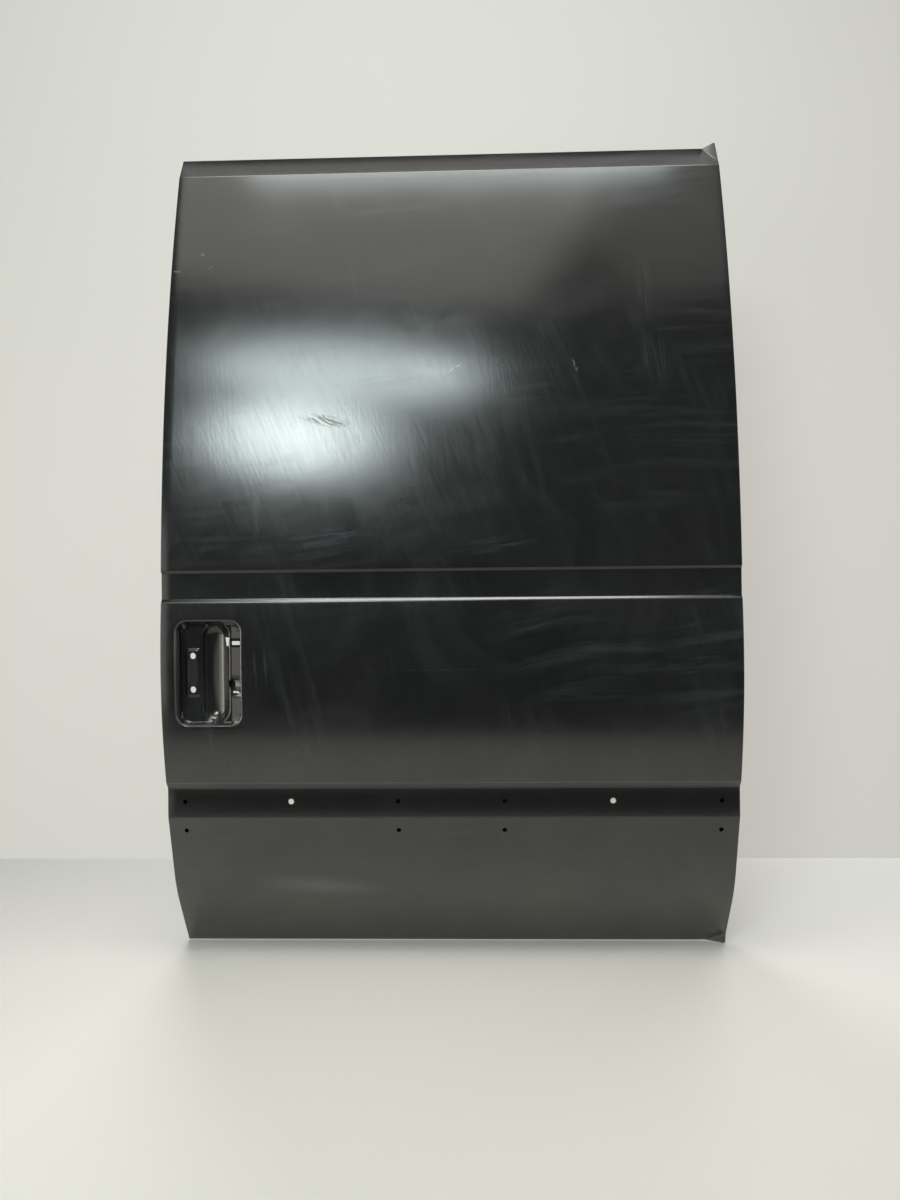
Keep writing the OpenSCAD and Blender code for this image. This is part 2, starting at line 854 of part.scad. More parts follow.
// An end rail: flange in the skin's hem, wall, face lapped over the stiles, and a return.
module end_rail(flange_line, face_line, wall_z, return_z) {
    x = wall_x - frame_t;
    sheet(flange_line, flange_d, flange_d + frame_t, -x, x);
    web(wall_z, wall_z + frame_t, flange_d + frame_t / 2, lap_d + frame_t / 2, -x, x);
    sheet(face_line, lap_d, lap_d + frame_t, -x, x);
    sheet(
        part_of(frame_line, return_z, return_z + frame_t),
        lap_d - return_h, lap_d + frame_t / 2, -stile_x + frame_t, stile_x - frame_t
    );
}

module top_rail() {
    color(ecoat_frame)
        placed()
            difference() {
                with_cut_corners()
                    end_rail(
                        part_of(section, rail_wall_top - frame_t, top_z - skin_t),
                        part_of(frame_line, rail_low_top, rail_wall_top),
                        rail_wall_top - frame_t, rail_low_top
                    );
                upper_arm_holes();
            }
}

module bottom_rail() {
    color(ecoat_frame)
        placed()
            difference() {
                with_cut_corners()
                    end_rail(
                        part_of(section, bottom_z + skin_t, rail_wall_bottom + frame_t),
                        part_of(frame_line, rail_wall_bottom, rail_high_bottom),
                        rail_wall_bottom, rail_high_bottom - frame_t
                    );
                lower_arm_holes();
                drain_slots();
            }
}

// Slots that let water out of the lowest corner of the frame.
module drain_slots() {
    for (x = [-stile_x + 70, 0, stile_x - 70])
        translate([x - 15, 0, rail_wall_bottom - 1])
            cube([30, foot[0] + 26, frame_t + 2]);
}

// The sheet that closes the lower half, with two turned-in access openings and raised swages.
module swages(grow) {
    for (side = [-1, 1])
        for (z = [(waist_low + access_top) / 2, (rail_high_bottom + access_foot) / 2])
            window(
                access_w - 20 - 2 * grow, swage_h - 2 * grow, swage_h / 2 - grow - 0.1,
                side * access_x, z, -far / 10, far / 10
            );
    window(
        swage_h - 2 * grow, access_h - 2 * grow, swage_h / 2 - grow - 0.1,
        0, access_z, -far / 10, far / 10
    );
}

module lower_inner_panel() {
    x = stile_x + lap_w;
    hole_x = stile_x - trim_edge;
    panel_line = part_of(frame_line, rail_high_bottom + lay_gap, waist_low - lay_gap);
    color(ecoat_frame)
        placed()
            difference() {
                union() {
                    difference() {
                        sheet(panel_line, lap_d, lap_d + frame_t, -x, x);
                        swages(0);
                    }
                    intersection() {
                        swages(0);
                        difference() {
                            sheet(panel_line, lap_d, lap_d + frame_t + swage_d, -x, x);
                            intersection() {
                                swages(frame_t);
                                sheet(panel_line, lap_d - 1, lap_d + swage_d, -x, x);
                            }
                        }
                    }
                    intersection() {
                        access_openings(frame_t);
                        sheet(
                            panel_line, lap_d - return_h, lap_d + frame_t,
                            -stile_x + frame_t, stile_x - frame_t
                        );
                    }
                }
                access_openings(0);
                lock_opening();
                hole_row(-access_inner, hole_x, waist_low - trim_edge);
                hole_row(-hole_x, hole_x, rail_high_bottom + trim_edge + swage_h / 2);
            }
}

// Upright channel between the openings: glued to the skin, welded to the inner panel.
post_top = waist_low - glue_w - post_gap;
post_low = rail_high_bottom + post_gap;
module centre_post() {
    x = post_w / 2;
    color(ecoat_frame)
        placed() {
            sheet(part_of(glue_line, post_low, post_top), glue_d, glue_d + frame_t, -x, x);
            for (side = [0, 1])
                mirror([side, 0, 0]) {
                    web(post_low, post_top, glue_d, frame_depth, x - frame_t, x, glue_line);
                    sheet(
                        part_of(frame_line, post_low, post_top),
                        frame_depth - frame_t, frame_depth, x - frame_t, x + 20
                    );
                }
        }
}

module centre_post_mastic() {
    steps = 3;
    bead_l = 60;
    pitch = (post_top - post_low - bead_l - 20) / steps;
    color(mastic_colour)
        placed()
            for (i = [0 : steps])
                bead(
                    post_low + 10 + i * pitch, post_low + 10 + i * pitch + bead_l,
                    -post_w / 2 + 25, post_w / 2 - 25
                );
}

// Middle roller bracket: thick plate on the land, and the holes for its four bolts.
module bracket_holes() {
    for (dx = [-1, 1], dz = [-1, 1])
        bore(
            bracket_x + dx * bracket_dx / 2, seat_y - 20,
            bracket_z + dz * bracket_dz / 2, bolt_r, 40
        );
}

module middle_bracket_plate() {
    color(ecoat_frame)
        placed()
            difference() {
                window(
                    bracket_w, bracket_h, 10, bracket_x, bracket_z,
                    seat_y - plate_t + lay_gap, seat_y
                );
                bracket_holes();
            }
}

// A plate laid on a straight stretch of the frame's line round a height, in its slope.
module on_slope(x, z, depth) {
    a = part_of(frame_line, z - 0.5, z + 0.5);
    slope = atan2(a[1][0] - a[0][0], a[1][1] - a[0][1]);
    translate([x, y_at(frame_line, z), z])
        rotate([-slope, 0, 0])
            translate([0, depth, 0])
                children();
}

arm_x = -half_w + flange_w + stile_w / 2;
upper_arm_z = rail_low_top + top_rail_h / 2 - 8;
lower_arm_z = rail_wall_bottom + bottom_rail_h / 2 - 6;

module upper_arm_holes() {
    for (side = [-1, 1])
        on_slope(arm_x + side * arm_bolt_pitch / 2, upper_arm_z, frame_depth)
            bore(0, -15, 0, bolt_r, 40);
}

module lower_arm_holes() {
    for (side = [-1, 1])
        on_slope(arm_x + side * arm_bolt_pitch / 2, lower_arm_z, frame_depth)
            bore(0, -15, 0, bolt_r, 40);
}

module arm_plate(z, h) {
    on_slope(arm_x, z, lap_d + frame_t + lay_gap)
        window(arm_plate_w, h, 10, 0, 0, 0, plate_t);
}

module upper_arm_plate() {
    color(ecoat_frame)
        placed()
            difference() {
                arm_plate(upper_arm_z, upper_arm_h);
                upper_arm_holes();
            }
}

module lower_arm_plate() {
    color(ecoat_frame)
        placed()
            difference() {
                arm_plate(lower_arm_z, lower_arm_h);
                lower_arm_holes();
            }
}

// Plate inside the front edge wall, which the lock's screws clamp.
lock_plate_h = lock_hole_pitch + 32;
module lock_plate() {
    color(ecoat_frame)
        placed()
            difference() {
                translate([-wall_x + frame_t, land_y + 16, pocket_z - lock_plate_h / 2])
                    cube([plate_t - 1, 20, lock_plate_h]);
                lock_holes();
            }
}

// Plate inside the rear edge wall, with the holes of the rear catch.
catch_z = -250;
module catch_holes() {
    for (side = [-1, 1])
        translate([wall_x - 20, middle_y(catch_z) + 30, catch_z + side * 26])
            rotate([0, 90, 0])
                cylinder(h = 40, r = lock_hole_r);
}

module rear_catch_plate() {
    color(ecoat_frame)
        placed()
            difference() {
                translate([wall_x - frame_t - plate_t + 1, middle_y(catch_z) + 21, catch_z - 45])
                    cube([plate_t - 1, 17, 90]);
                catch_holes();
            }
}

module waist_mastic() {
    mastic_beads(waist_low, waist_high);
}

module lower_brace_mastic() {
    mastic_beads(brace_low_z - brace_h / 2, brace_low_z + brace_h / 2);
}

module upper_brace_mastic() {
    mastic_beads(brace_high_z - brace_h / 2, brace_high_z + brace_h / 2);
}

// Everything above is drawn round the waist line, then moved so that the seat is the origin.
module placed() {
    translate(-origin)
        children();
}

outer_skin();
handle_pocket();
handle_backing_plate();
front_stile();
lower_rear_stile();
upper_rear_stile();
top_rail();
bottom_rail();
waist_rail();
lower_inner_panel();
centre_post();
lower_brace();
upper_brace();
lock_plate();
rear_catch_plate();
middle_bracket_plate();
upper_arm_plate();
lower_arm_plate();
waist_mastic();
lower_brace_mastic();
upper_brace_mastic();
centre_post_mastic();
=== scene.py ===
import math

import bmesh
import bpy
from mathutils import Matrix, Vector, noise


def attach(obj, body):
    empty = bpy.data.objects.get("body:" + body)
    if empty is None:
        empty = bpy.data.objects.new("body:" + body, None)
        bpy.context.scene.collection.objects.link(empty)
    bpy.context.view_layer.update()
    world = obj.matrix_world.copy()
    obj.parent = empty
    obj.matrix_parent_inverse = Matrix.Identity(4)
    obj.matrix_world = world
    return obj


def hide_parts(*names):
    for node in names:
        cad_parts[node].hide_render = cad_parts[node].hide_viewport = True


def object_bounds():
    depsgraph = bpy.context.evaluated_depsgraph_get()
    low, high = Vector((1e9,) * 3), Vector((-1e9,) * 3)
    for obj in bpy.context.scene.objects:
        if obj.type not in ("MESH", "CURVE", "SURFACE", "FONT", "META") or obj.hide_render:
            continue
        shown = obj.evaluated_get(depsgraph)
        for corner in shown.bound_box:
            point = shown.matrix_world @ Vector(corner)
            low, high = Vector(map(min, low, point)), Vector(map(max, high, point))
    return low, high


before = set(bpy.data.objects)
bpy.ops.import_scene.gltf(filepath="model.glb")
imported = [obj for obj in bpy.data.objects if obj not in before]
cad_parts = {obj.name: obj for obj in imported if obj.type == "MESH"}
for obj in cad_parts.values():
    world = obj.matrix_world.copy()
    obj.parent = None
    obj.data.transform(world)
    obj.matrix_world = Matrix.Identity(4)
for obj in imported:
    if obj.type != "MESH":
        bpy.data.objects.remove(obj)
cad_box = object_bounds()
scene = bpy.context.scene
scene.view_settings.view_transform = "Standard"

# Stage: a pale floor, and a wall that only its room side shows, so that the door can also be seen
# from behind. Windows in front, a strip over the top, a ceiling and pale sides light the primer's
# gloss from where it was lit in the photo, and two lamps light the inner side.
room_left, room_right, wall_y, wall_top = -3.4, 2.4, 0.705, 2.6
floor_front, floor_split, floor_back, floor_z = -2.6, -1.05, 3.2, cad_box[0].z


def plain(name, base, roughness):
    """A new material with these two values, its node tree and its shader."""
    material = bpy.data.materials.new(name)
    material.use_nodes = True
    tree = material.node_tree
    shader = tree.nodes["Principled BSDF"]
    shader.inputs["Base Color"].default_value = (*base, 1)
    shader.inputs["Roughness"].default_value = roughness
    return material, tree, shader


def as_mesh(bm, name):
    mesh = bpy.data.meshes.new(name)
    bm.to_mesh(mesh)
    bm.free()
    return mesh


def board(name, start, end, facing, material):
    """A flat four-cornered face between two opposite corners, that looks this way."""
    bm = bmesh.new()
    corners = (start, (end[0], start[1], start[2]), end, (start[0], end[1], end[2]))
    face = bmesh.ops.contextual_create(bm, geom=[bm.verts.new(c) for c in corners])["faces"][0]
    bm.normal_update()
    if face.normal.dot(facing) < 0:
        face.normal_flip()
    mesh = as_mesh(bm, name)
    mesh.materials.append(material)
    piece = bpy.data.objects.new(name, mesh)
    scene.collection.objects.link(piece)
    return piece


def switched(tree, switch, first, second, end):
    """Two shaders into a tree's end node: the second one where the switch is on."""
    pick = tree.nodes.new("ShaderNodeMixShader")
    for index, source in enumerate((switch, first, second)):
        tree.links.new(source, pick.inputs[index])
    tree.links.new(pick.outputs["Shader"], tree.nodes[end].inputs["Surface"])


floor_paint = plain("floor_paint", (0.53, 0.518, 0.487), 0.6)[0]
up = Vector((0, 0, 1))
board("ground", (room_left, floor_split, floor_z), (room_right, floor_back, floor_z), up, floor_paint)
front_ground = board(
    "front_ground", (room_left, floor_front, floor_z), (room_right, floor_split, floor_z), up, floor_paint
)
wall_paint, tree, shader = plain("wall_paint", (0.375, 0.362, 0.338), 0.8)
shader.inputs["Specular IOR Level"].default_value = 0
shader.inputs["Emission Color"].default_value = (0.90, 0.885, 0.84, 1)
shader.inputs["Emission Strength"].default_value = 0.375
behind = tree.nodes.new("ShaderNodeNewGeometry").outputs["Backfacing"]
see_through = tree.nodes.new("ShaderNodeBsdfTransparent").outputs["BSDF"]
switched(tree, behind, shader.outputs["BSDF"], see_through, "Material Output")
backdrop = board(
    "backdrop", (room_left, wall_y, floor_z), (room_right, wall_y, wall_top), Vector((0, -1, 0)), wall_paint
)
backdrop.visible_shadow = False
for unlit in (front_ground, backdrop):
    unlit.visible_diffuse = False
    unlit.visible_glossy = False

scene.world = bpy.data.worlds.new("room")
scene.world.use_nodes = True
tree = scene.world.node_tree
room = tree.nodes["Background"]
room.inputs["Color"].default_value = (0.085, 0.09, 0.09, 1)
seen_room = tree.nodes.new("ShaderNodeBackground")
seen_room.inputs["Color"].default_value = (0.66, 0.65, 0.61, 1)
seen = tree.nodes.new("ShaderNodeLightPath").outputs["Is Camera Ray"]
switched(tree, seen, room.outputs["Background"], seen_room.outputs["Background"], "World Output")


def soft_light(name, middle, aim, size, radiance, tint=(1, 1, 1), shape="RECTANGLE", spread=180):
    """A lamp panel of a known size, aimed at a point, whose face has this radiance."""
    lamp = bpy.data.lights.new(name, "AREA")
    lamp.shape = shape
    lamp.size, lamp.size_y = size
    lamp.color = tint
    lamp.spread = math.radians(spread)
    area = size[0] * size[1] * (math.pi / 4 if shape == "ELLIPSE" else 1)
    lamp.energy = radiance * area * math.pi
    holder = bpy.data.objects.new(name, lamp)
    scene.collection.objects.link(holder)
    holder.location = middle
    holder.rotation_euler = (Vector(aim) - Vector(middle)).to_track_quat("-Z", "Y").to_euler()
    holder.visible_camera = False


cool, warm, paler = (0.86, 1.0, 0.985), (1.0, 0.97, 0.91), (1.0, 0.975, 0.94)
for name, middle, size, radiance, tint in (
    ("upper_window", (-1.27, -3.05, 2.33), (1.50, 0.56), 13, cool),
    ("window_corner", (-0.60, -3.05, 2.22), (0.34, 0.34), 13, cool),
    ("lower_window", (-1.45, -3.05, 1.60), (0.95, 0.72), 20, cool),
    ("window_core", (-1.52, -3.0, 1.62), (0.46, 0.30), 6, paler),
):
    soft_light(name, middle, (-0.55, 0.0, 0.35), size, radiance, tint, "ELLIPSE")
soft_light("top_strip", (-0.50, -0.505, 1.87), (-0.50, 0.07, 0.8), (1.36, 0.15), 6.5, cool)
soft_light("ceiling", (-0.95, -1.15, 2.35), (-0.80, -0.6, 0), (1.9, 1.3), 1.75, warm)
soft_light("ceiling_right", (0.50, -1.25, 2.35), (0.3, -0.8, 0), (1.0, 1.2), 0.7, warm)
soft_light("overhead", (-0.45, -0.15, 2.35), (-0.45, -0.15, 0), (2.5, 0.8), 0.95, warm)
soft_light("floor_lamp", (-0.50, -0.62, 2.33), (-0.50, -0.62, 0), (1.8, 0.8), 1.3, warm, spread=60)
soft_light("side_wall", (-2.9, -0.7, 0.2), (-0.5, -0.3, 0), (1.8, 1.6), 1.3, warm, spread=85)
soft_light("right_side", (2.7, -0.35, 0.4), (0.0, 0.05, 0.1), (1.8, 1.6), 1.5, warm, spread=85)
soft_light("front_left_wall", (-2.88, -1.94, -0.15), (-0.97, -0.03, -0.17), (1.7, 1.7), 1.35, warm)
soft_light("back_lamp", (-1.7, 3.0, 1.8), (-0.5, 0.1, 0.1), (2.2, 1.8), 6.0)
soft_light("back_fill", (1.5, 2.6, 0.5), (-0.5, 0.1, 0.0), (1.8, 2.0), 3.6)

eye = Vector((-0.4476, -1.7910, -0.0340))
forward = Vector((-0.0305, 0.9995, 0)).normalized()
across = forward.cross(up)
roll = 0.0097
right = across * math.cos(roll) - up * math.sin(roll)
upright = up * math.cos(roll) + across * math.sin(roll)
lens = bpy.data.cameras.new("photo_camera")
lens.lens = 27
lens.sensor_width = 36
lens.clip_start = 0.02
viewer = bpy.data.objects.new("photo_camera", lens)
scene.collection.objects.link(viewer)
viewer.matrix_world = Matrix.Translation(eye) @ Matrix((right, upright, -forward)).transposed().to_4x4()
scene.camera = viewer

# Outer skin: one sheet of 0.8 mm deep-drawn steel, stretched over a die that gives the crowned
# side, the recessed waist band and the stepped seat of the rub strip. Its edges are folded
# flat over the inner frame's flange, and it is dipped in black cathodic primer with no top coat.
seat_of_origin = Vector((-0.503, -0.0525, -0.034))
half_w = 0.565
top_z, bend_z, band_z = 0.945, 0.897, 0.062
lip_z, step_z, land_z, tuck_z, foot_z = -0.358, -0.370, -0.428, -0.585, -0.716
upper_r, upper_crown_z, upper_crown_y = 3.5, -0.080, 0.0037
middle_r, middle_crown_z = 1.1, -0.115
band_depth, band_edge = 0.0048, 0.005
seat_drop = 0.0098
lower_slope, tuck_slope, top_slope = math.radians(15.5), math.radians(31), math.radians(30)
foot_bend, land_bend, step_bend, lip_bend, band_bend, top_bend = 0.034, 0.0012, 0.0020, 0.0026, 0.0014, 0.0016
top_flap, foot_flap = (0.031, 0.039, math.radians(48)), (0.050, 0.020, math.radians(55))
skin_t = 0.0008
hem_w, hem_r, fold_steps = 0.012, 0.0014, 6
same_point = 1e-6
clip_edge, clip_inner_x, clip_big_x = 0.035, 0.105, 0.318
clip_upper_z, clip_lower_z = -0.397, -0.456
clip_r, big_clip_r, clip_field = 0.0045, 0.0055, 0.020
pocket_x, pocket_z, pocket_w, pocket_h, pocket_r = -0.4715, -0.139, 0.127, 0.204, 0.022
core_w, core_h = pocket_w / 2 - pocket_r, pocket_h / 2 - pocket_r
rim_r, rim_margin, rim_lip_y = 0.0026, 0.018, 0.0118


def upper_y(z):
    return upper_crown_y + upper_r - math.sqrt(upper_r**2 - (z - upper_crown_z) ** 2)


def middle_y(z):
    return middle_r - math.sqrt(middle_r**2 - (z - middle_crown_z) ** 2)


seat_y = middle_y(lip_z) + seat_drop
tuck_y = seat_y + (land_z - tuck_z) * math.tan(lower_slope)
foot_y = tuck_y + (tuck_z - foot_z) * math.tan(tuck_slope)
crown_y = upper_y(bend_z) + (top_z - bend_z) * math.tan(top_slope)


def seat_depth(z):
    return seat_y + max(0, land_z - z) * math.tan(lower_slope)


def grown(bm, vert, y, z):
    """The next point of a chain that is drawn upwards."""
    new = bmesh.ops.extrude_vert_indiv(bm, verts=[vert])["verts"][0]
    new.co = (vert.co.x, y, z)
    return new


def swung(bm, vert, crown_depth, radius, crown_height, to_z, steps):
    """The chain goes on along a true arc round an axis along the door."""
    start = math.asin((vert.co.z - crown_height) / radius)
    end = math.asin((to_z - crown_height) / radius)
    made = bmesh.ops.spin(
        bm, geom=[vert], cent=(0, crown_depth + radius, crown_height), axis=(1, 0, 0),
        angle=start - end, steps=steps, use_merge=False,
    )
    return [g for g in made["geom_last"] if isinstance(g, bmesh.types.BMVert)][0]


def section_chain(bm):
    """The door's outer line from the bottom fold to the top fold."""
    foot = Vector((-half_w + hem_r, foot_y, foot_z))
    crown = Vector((-half_w + hem_r, crown_y, top_z))
    up = Vector((0, -math.sin(tuck_slope), math.cos(tuck_slope)))
    down = Vector((0, -math.sin(top_slope), -math.cos(top_slope)))
    vert = bm.verts.new(foot + up * hem_r)
    for y, z in ((tuck_y, tuck_z), (seat_y, land_z), (seat_y, step_z), (middle_y(lip_z), lip_z)):
        vert = grown(bm, vert, y, z)
    vert = swung(bm, vert, 0, middle_r, middle_crown_z, 0, 60)
    vert = grown(bm, vert, middle_y(0) + band_depth, band_edge)
    vert = grown(bm, vert, upper_y(band_z) + band_depth, band_z - band_edge)
    vert = grown(bm, vert, upper_y(band_z), band_z)
    vert = swung(bm, vert, upper_crown_y, upper_r, upper_crown_z, bend_z, 56)
    end = crown + down * hem_r
    grown(bm, vert, end.y, end.z)


def bevelled(bm, geom, offset, segments, affect="EDGES", clamp=False):
    bmesh.ops.bevel(
        bm, geom=geom, offset=offset, segments=segments, affect=affect, profile=0.5, material=-1,
        clamp_overlap=clamp,
    )


def rounded(bm, y, z, offset, segments):
    """Bends the sheet along one crease to a soft radius."""
    near = 2e-4
    bevelled(bm, [
        e for e in bm.edges
        if all(abs(v.co.z - z) < near and abs(v.co.y - y) < near for v in e.verts)
    ], offset, segments)


def cut_line(bm, point, normal, faces=None):
    """Divides the sheet, or only these faces of it, along a plane."""
    if faces is None:
        geom = bm.verts[:] + bm.edges[:] + bm.faces[:]
    else:
        geom = list({v for f in faces for v in f.verts} | {e for f in faces for e in f.edges}) + faces
    bmesh.ops.bisect_plane(bm, geom=geom, dist=same_point, plane_co=point, plane_no=normal)


def rectangle_removed(bm, x, z, w, h):
    """Cuts a straight-sided gap into the sheet, and returns the edges round it."""
    for side in (-1, 1):
        cut_line(bm, (x + side * w / 2, 0, 0), (1, 0, 0))
        cut_line(bm, (0, 0, z + side * h / 2), (0, 0, 1))
    inside = [
        f for f in bm.faces
        if abs(f.calc_center_median().x - x) < w / 2 and abs(f.calc_center_median().z - z) < h / 2
    ]
    rim = {e for f in inside for e in f.edges if any(g not in inside for g in e.link_faces)}
    bmesh.ops.delete(bm, geom=inside, context="FACES")
    return [e for e in rim if e.is_valid]


def extruded(bm, edges):
    """A new row of faces from a row of edges: its new points and its new edges."""
    made = bmesh.ops.extrude_edge_only(bm, edges=edges)["geom"]
    verts = [g for g in made if isinstance(g, bmesh.types.BMVert)]
    return verts, [g for g in made if isinstance(g, bmesh.types.BMEdge) and all(v in verts for v in g.verts)]


def moved_ring(bm, edges, move):
    """Extrudes a loop of edges once, each point by what move() gives for it."""
    verts, new_edges = extruded(bm, edges)
    for v in verts:
        v.co += move(v)
    return new_edges


def divided(bm, edges, cuts):
    """The edges of a gap's border, after each is divided."""
    made = bmesh.ops.subdivide_edges(bm, edges=edges, cuts=cuts)["geom"]
    return [g for g in made if isinstance(g, bmesh.types.BMEdge) and g.is_boundary]


def clip_hole(bm, x, z, r):
    """A punched round hole in the seat of the rub strip."""
    gap = rectangle_removed(bm, x, z, clip_field, clip_field)

    def onto_circle(v):
        out = Vector((v.co.x - x, 0, v.co.z - z)).normalized() * r
        return Vector((x + out.x, seat_depth(z + out.z), z + out.z)) - v.co

    moved_ring(bm, divided(bm, gap, 9), onto_circle)


def pocket_core(v):
    """The nearest point of the rectangle that the pocket's rounded outline is drawn round."""
    x, z = v.co.x - pocket_x, v.co.z - pocket_z
    return Vector((
        max(-core_w, min(core_w, x)) + pocket_x, v.co.y, max(-core_h, min(core_h, z)) + pocket_z
    ))


def pocket_hole(bm):
    """The opening for the handle: its edge is rolled inwards to a short lip."""
    gap = rectangle_removed(bm, pocket_x, pocket_z, pocket_w + rim_margin, pocket_h + rim_margin)
    cut = []
    for e in gap:
        cut += divided(bm, [e], max(1, round(e.calc_length() / rim_r)))

    def inwards(v):
        return (pocket_core(v) - v.co).normalized()

    def onto_outline(v):
        spot = pocket_core(v) - inwards(v) * (pocket_r + rim_r)
        return Vector((spot.x, middle_y(spot.z), spot.z)) - v.co

    ring = moved_ring(bm, cut, onto_outline)
    for step in range(fold_steps):
        a0, a1 = math.pi / 2 * step / fold_steps, math.pi / 2 * (step + 1) / fold_steps
        side = rim_r * (math.sin(a1) - math.sin(a0))
        deep = rim_r * (math.cos(a0) - math.cos(a1))
        ring = moved_ring(bm, ring, lambda v: inwards(v) * side + Vector((0, deep, 0)))
    moved_ring(bm, ring, lambda v: Vector((0, rim_lip_y - v.co.y, 0)))


def hem(bm, edges, outwards):
    """Folds the sheet's edge round the frame's flange and lays it flat behind."""
    inwards = {v: -v.normal for e in edges for v in e.verts}
    for step in range(fold_steps + 1):
        verts, edges = extruded(bm, edges)
        carried = {}
        for v in verts:
            source = [e.other_vert(v) for e in v.link_edges if e.other_vert(v) in inwards][0]
            carried[v] = inwards[source]
            if step < fold_steps:
                a0, a1 = math.pi * step / fold_steps, math.pi * (step + 1) / fold_steps
                v.co += outwards * hem_r * (math.sin(a1) - math.sin(a0))
                v.co += carried[v] * hem_r * (math.cos(a0) - math.cos(a1))
            else:
                v.co -= outwards * (hem_w - hem_r)
        inwards = carried
    return edges, inwards


def sealant_bead(bm, cut_edge, inwards, way):
    """A flat bead along the hem's cut edge, on the hem on one side and the frame on the other."""
    section_mm = (
        (-3.4, 0.03), (-2.3, 0.60), (-0.8, 0.85), (0.9, 0.70),
        (2.3, 0.0), (3.5, -0.78), (0.6, -0.80), (0.4, 0.0),
    )
    start = {v: (v.co.copy(), inwards[v]) for e in cut_edge for v in e.verts}
    lone = bmesh.ops.duplicate(bm, geom=list(start) + cut_edge)
    for old, new in lone["vert_map"].items():
        if old in start:
            start[new] = start[old]
    ring = [g for g in lone["geom"] if isinstance(g, bmesh.types.BMEdge)]
    home = {v: start[v] for e in ring for v in e.verts}
    known = None
    for across, height in section_mm + section_mm[:1]:
        verts, ring = extruded(bm, ring)
        kept = {}
        for v in verts:
            kept[v] = home[[e.other_vert(v) for e in v.link_edges if e.other_vert(v) in home][0]]
            spot, inward = kept[v]
            edge_wave = noise.noise(spot * 55) * 0.9 * (abs(across) > 2)
            v.co = spot - way * (across + edge_wave) * 0.001 + inward * height * 0.001
        if known is None:
            bmesh.ops.delete(bm, geom=[v for v in home if v.is_valid], context="VERTS")
            known = set(bm.faces)
        home = kept
    faces = [f for f in bm.faces if f not in known]
    for f in faces:
        f.material_index = 1
    bmesh.ops.remove_doubles(bm, verts=list({v for f in faces for v in f.verts}), dist=same_point)


def bent_flap(bm, z, w, h, angle):
    """A rear corner of the finished door, knocked outwards over a short crease."""
    bends, spread = 4, 0.004
    s, depth, slope = (1, crown_y, top_slope) if z > 0 else (-1, foot_y, tuck_slope)
    low = Vector((half_w - w, depth + 2 * hem_r, z))
    high = Vector((half_w, depth + 2 * hem_r - h * math.tan(slope), z - s * h))
    crease = (high - low).normalized()
    away = crease.cross(Vector((0, 1, 0))).normalized()
    if away.x < 0:
        away = -away
    for i in range(bends, 0, -1):
        point = low + away * spread * (i - 1) / bends
        cut_line(bm, point, away)
        flap = [v for v in bm.verts if (v.co - point).dot(away) > 1e-5]
        turn = Matrix.Rotation(s * angle / bends, 3, crease)
        bmesh.ops.rotate(bm, cent=point, matrix=turn, verts=flap)


def facing_out(bm):
    """Turns the sheet's faces so that they all look out of the van."""
    bmesh.ops.recalc_face_normals(bm, faces=bm.faces)
    if max(bm.faces, key=lambda f: f.calc_area()).normal.y > 0:
        bmesh.ops.reverse_faces(bm, faces=bm.faces)
    bm.normal_update()


def make_skin():
    """The skin with its hems, and the sealant's beads along them."""
    bm = bmesh.new()
    section_chain(bm)
    columns, edge_zone = 24, 0.003
    pitch = (2 * half_w - 2 * hem_r) / columns
    edges = bm.edges[:]
    for _ in range(columns):
        edges = moved_ring(bm, edges, lambda v: Vector((pitch, 0, 0)))
    bmesh.ops.recalc_face_normals(bm, faces=bm.faces)
    for y, z, offset, segments in (
        (tuck_y, tuck_z, foot_bend, 12),
        (seat_y, land_z, land_bend, 3),
        (seat_y, step_z, step_bend, 5),
        (middle_y(lip_z), lip_z, lip_bend, 6),
        (middle_y(0), 0, band_bend, 4),
        (middle_y(0) + band_depth, band_edge, band_bend, 4),
        (upper_y(band_z) + band_depth, band_z - band_edge, band_bend, 4),
        (upper_y(band_z), band_z, band_bend, 4),
        (upper_y(bend_z), bend_z, top_bend, 5),
    ):
        rounded(bm, y, z, offset, segments)
    for side in (-1, 1):
        for x in (half_w - clip_edge, clip_inner_x):
            for z in (clip_upper_z, clip_lower_z):
                clip_hole(bm, side * x, z, clip_r)
        clip_hole(bm, side * clip_big_x, clip_upper_z, big_clip_r)
    pocket_hole(bm)
    facing_out(bm)
    side_x = half_w - hem_r - 1e-5
    borders = [e for e in bm.edges if e.is_boundary]
    folds = []
    for way, on_side in (
        ((-1, 0, 0), lambda v: v.co.x < -side_x),
        ((1, 0, 0), lambda v: v.co.x > side_x),
        ((0, math.sin(top_slope), math.cos(top_slope)), lambda v: v.co.z > top_z - edge_zone),
        ((0, math.sin(tuck_slope), -math.cos(tuck_slope)), lambda v: v.co.z < foot_z + edge_zone),
    ):
        folds.append((Vector(way), [e for e in borders if all(on_side(v) for v in e.verts)]))
    for way, edges in folds:
        cut_edge, inwards = hem(bm, edges, way)
        sealant_bead(bm, cut_edge, inwards, way)
    bent_flap(bm, top_z, *top_flap)
    bent_flap(bm, foot_z, *foot_flap)
    bmesh.ops.translate(bm, vec=seat_of_origin, verts=bm.verts)
    meshes = []
    for index, name in enumerate(("door_skin", "hem_sealant")):
        part = bm.copy()
        bmesh.ops.delete(part, geom=[f for f in part.faces if f.material_index != index], context="FACES")
        for f in part.faces:
            f.material_index = 0
        if name == "hem_sealant":
            bmesh.ops.holes_fill(part, edges=[e for e in part.edges if e.is_boundary])
            bmesh.ops.recalc_face_normals(part, faces=part.faces)
        meshes.append(as_mesh(part, name))
    bm.free()
    return meshes


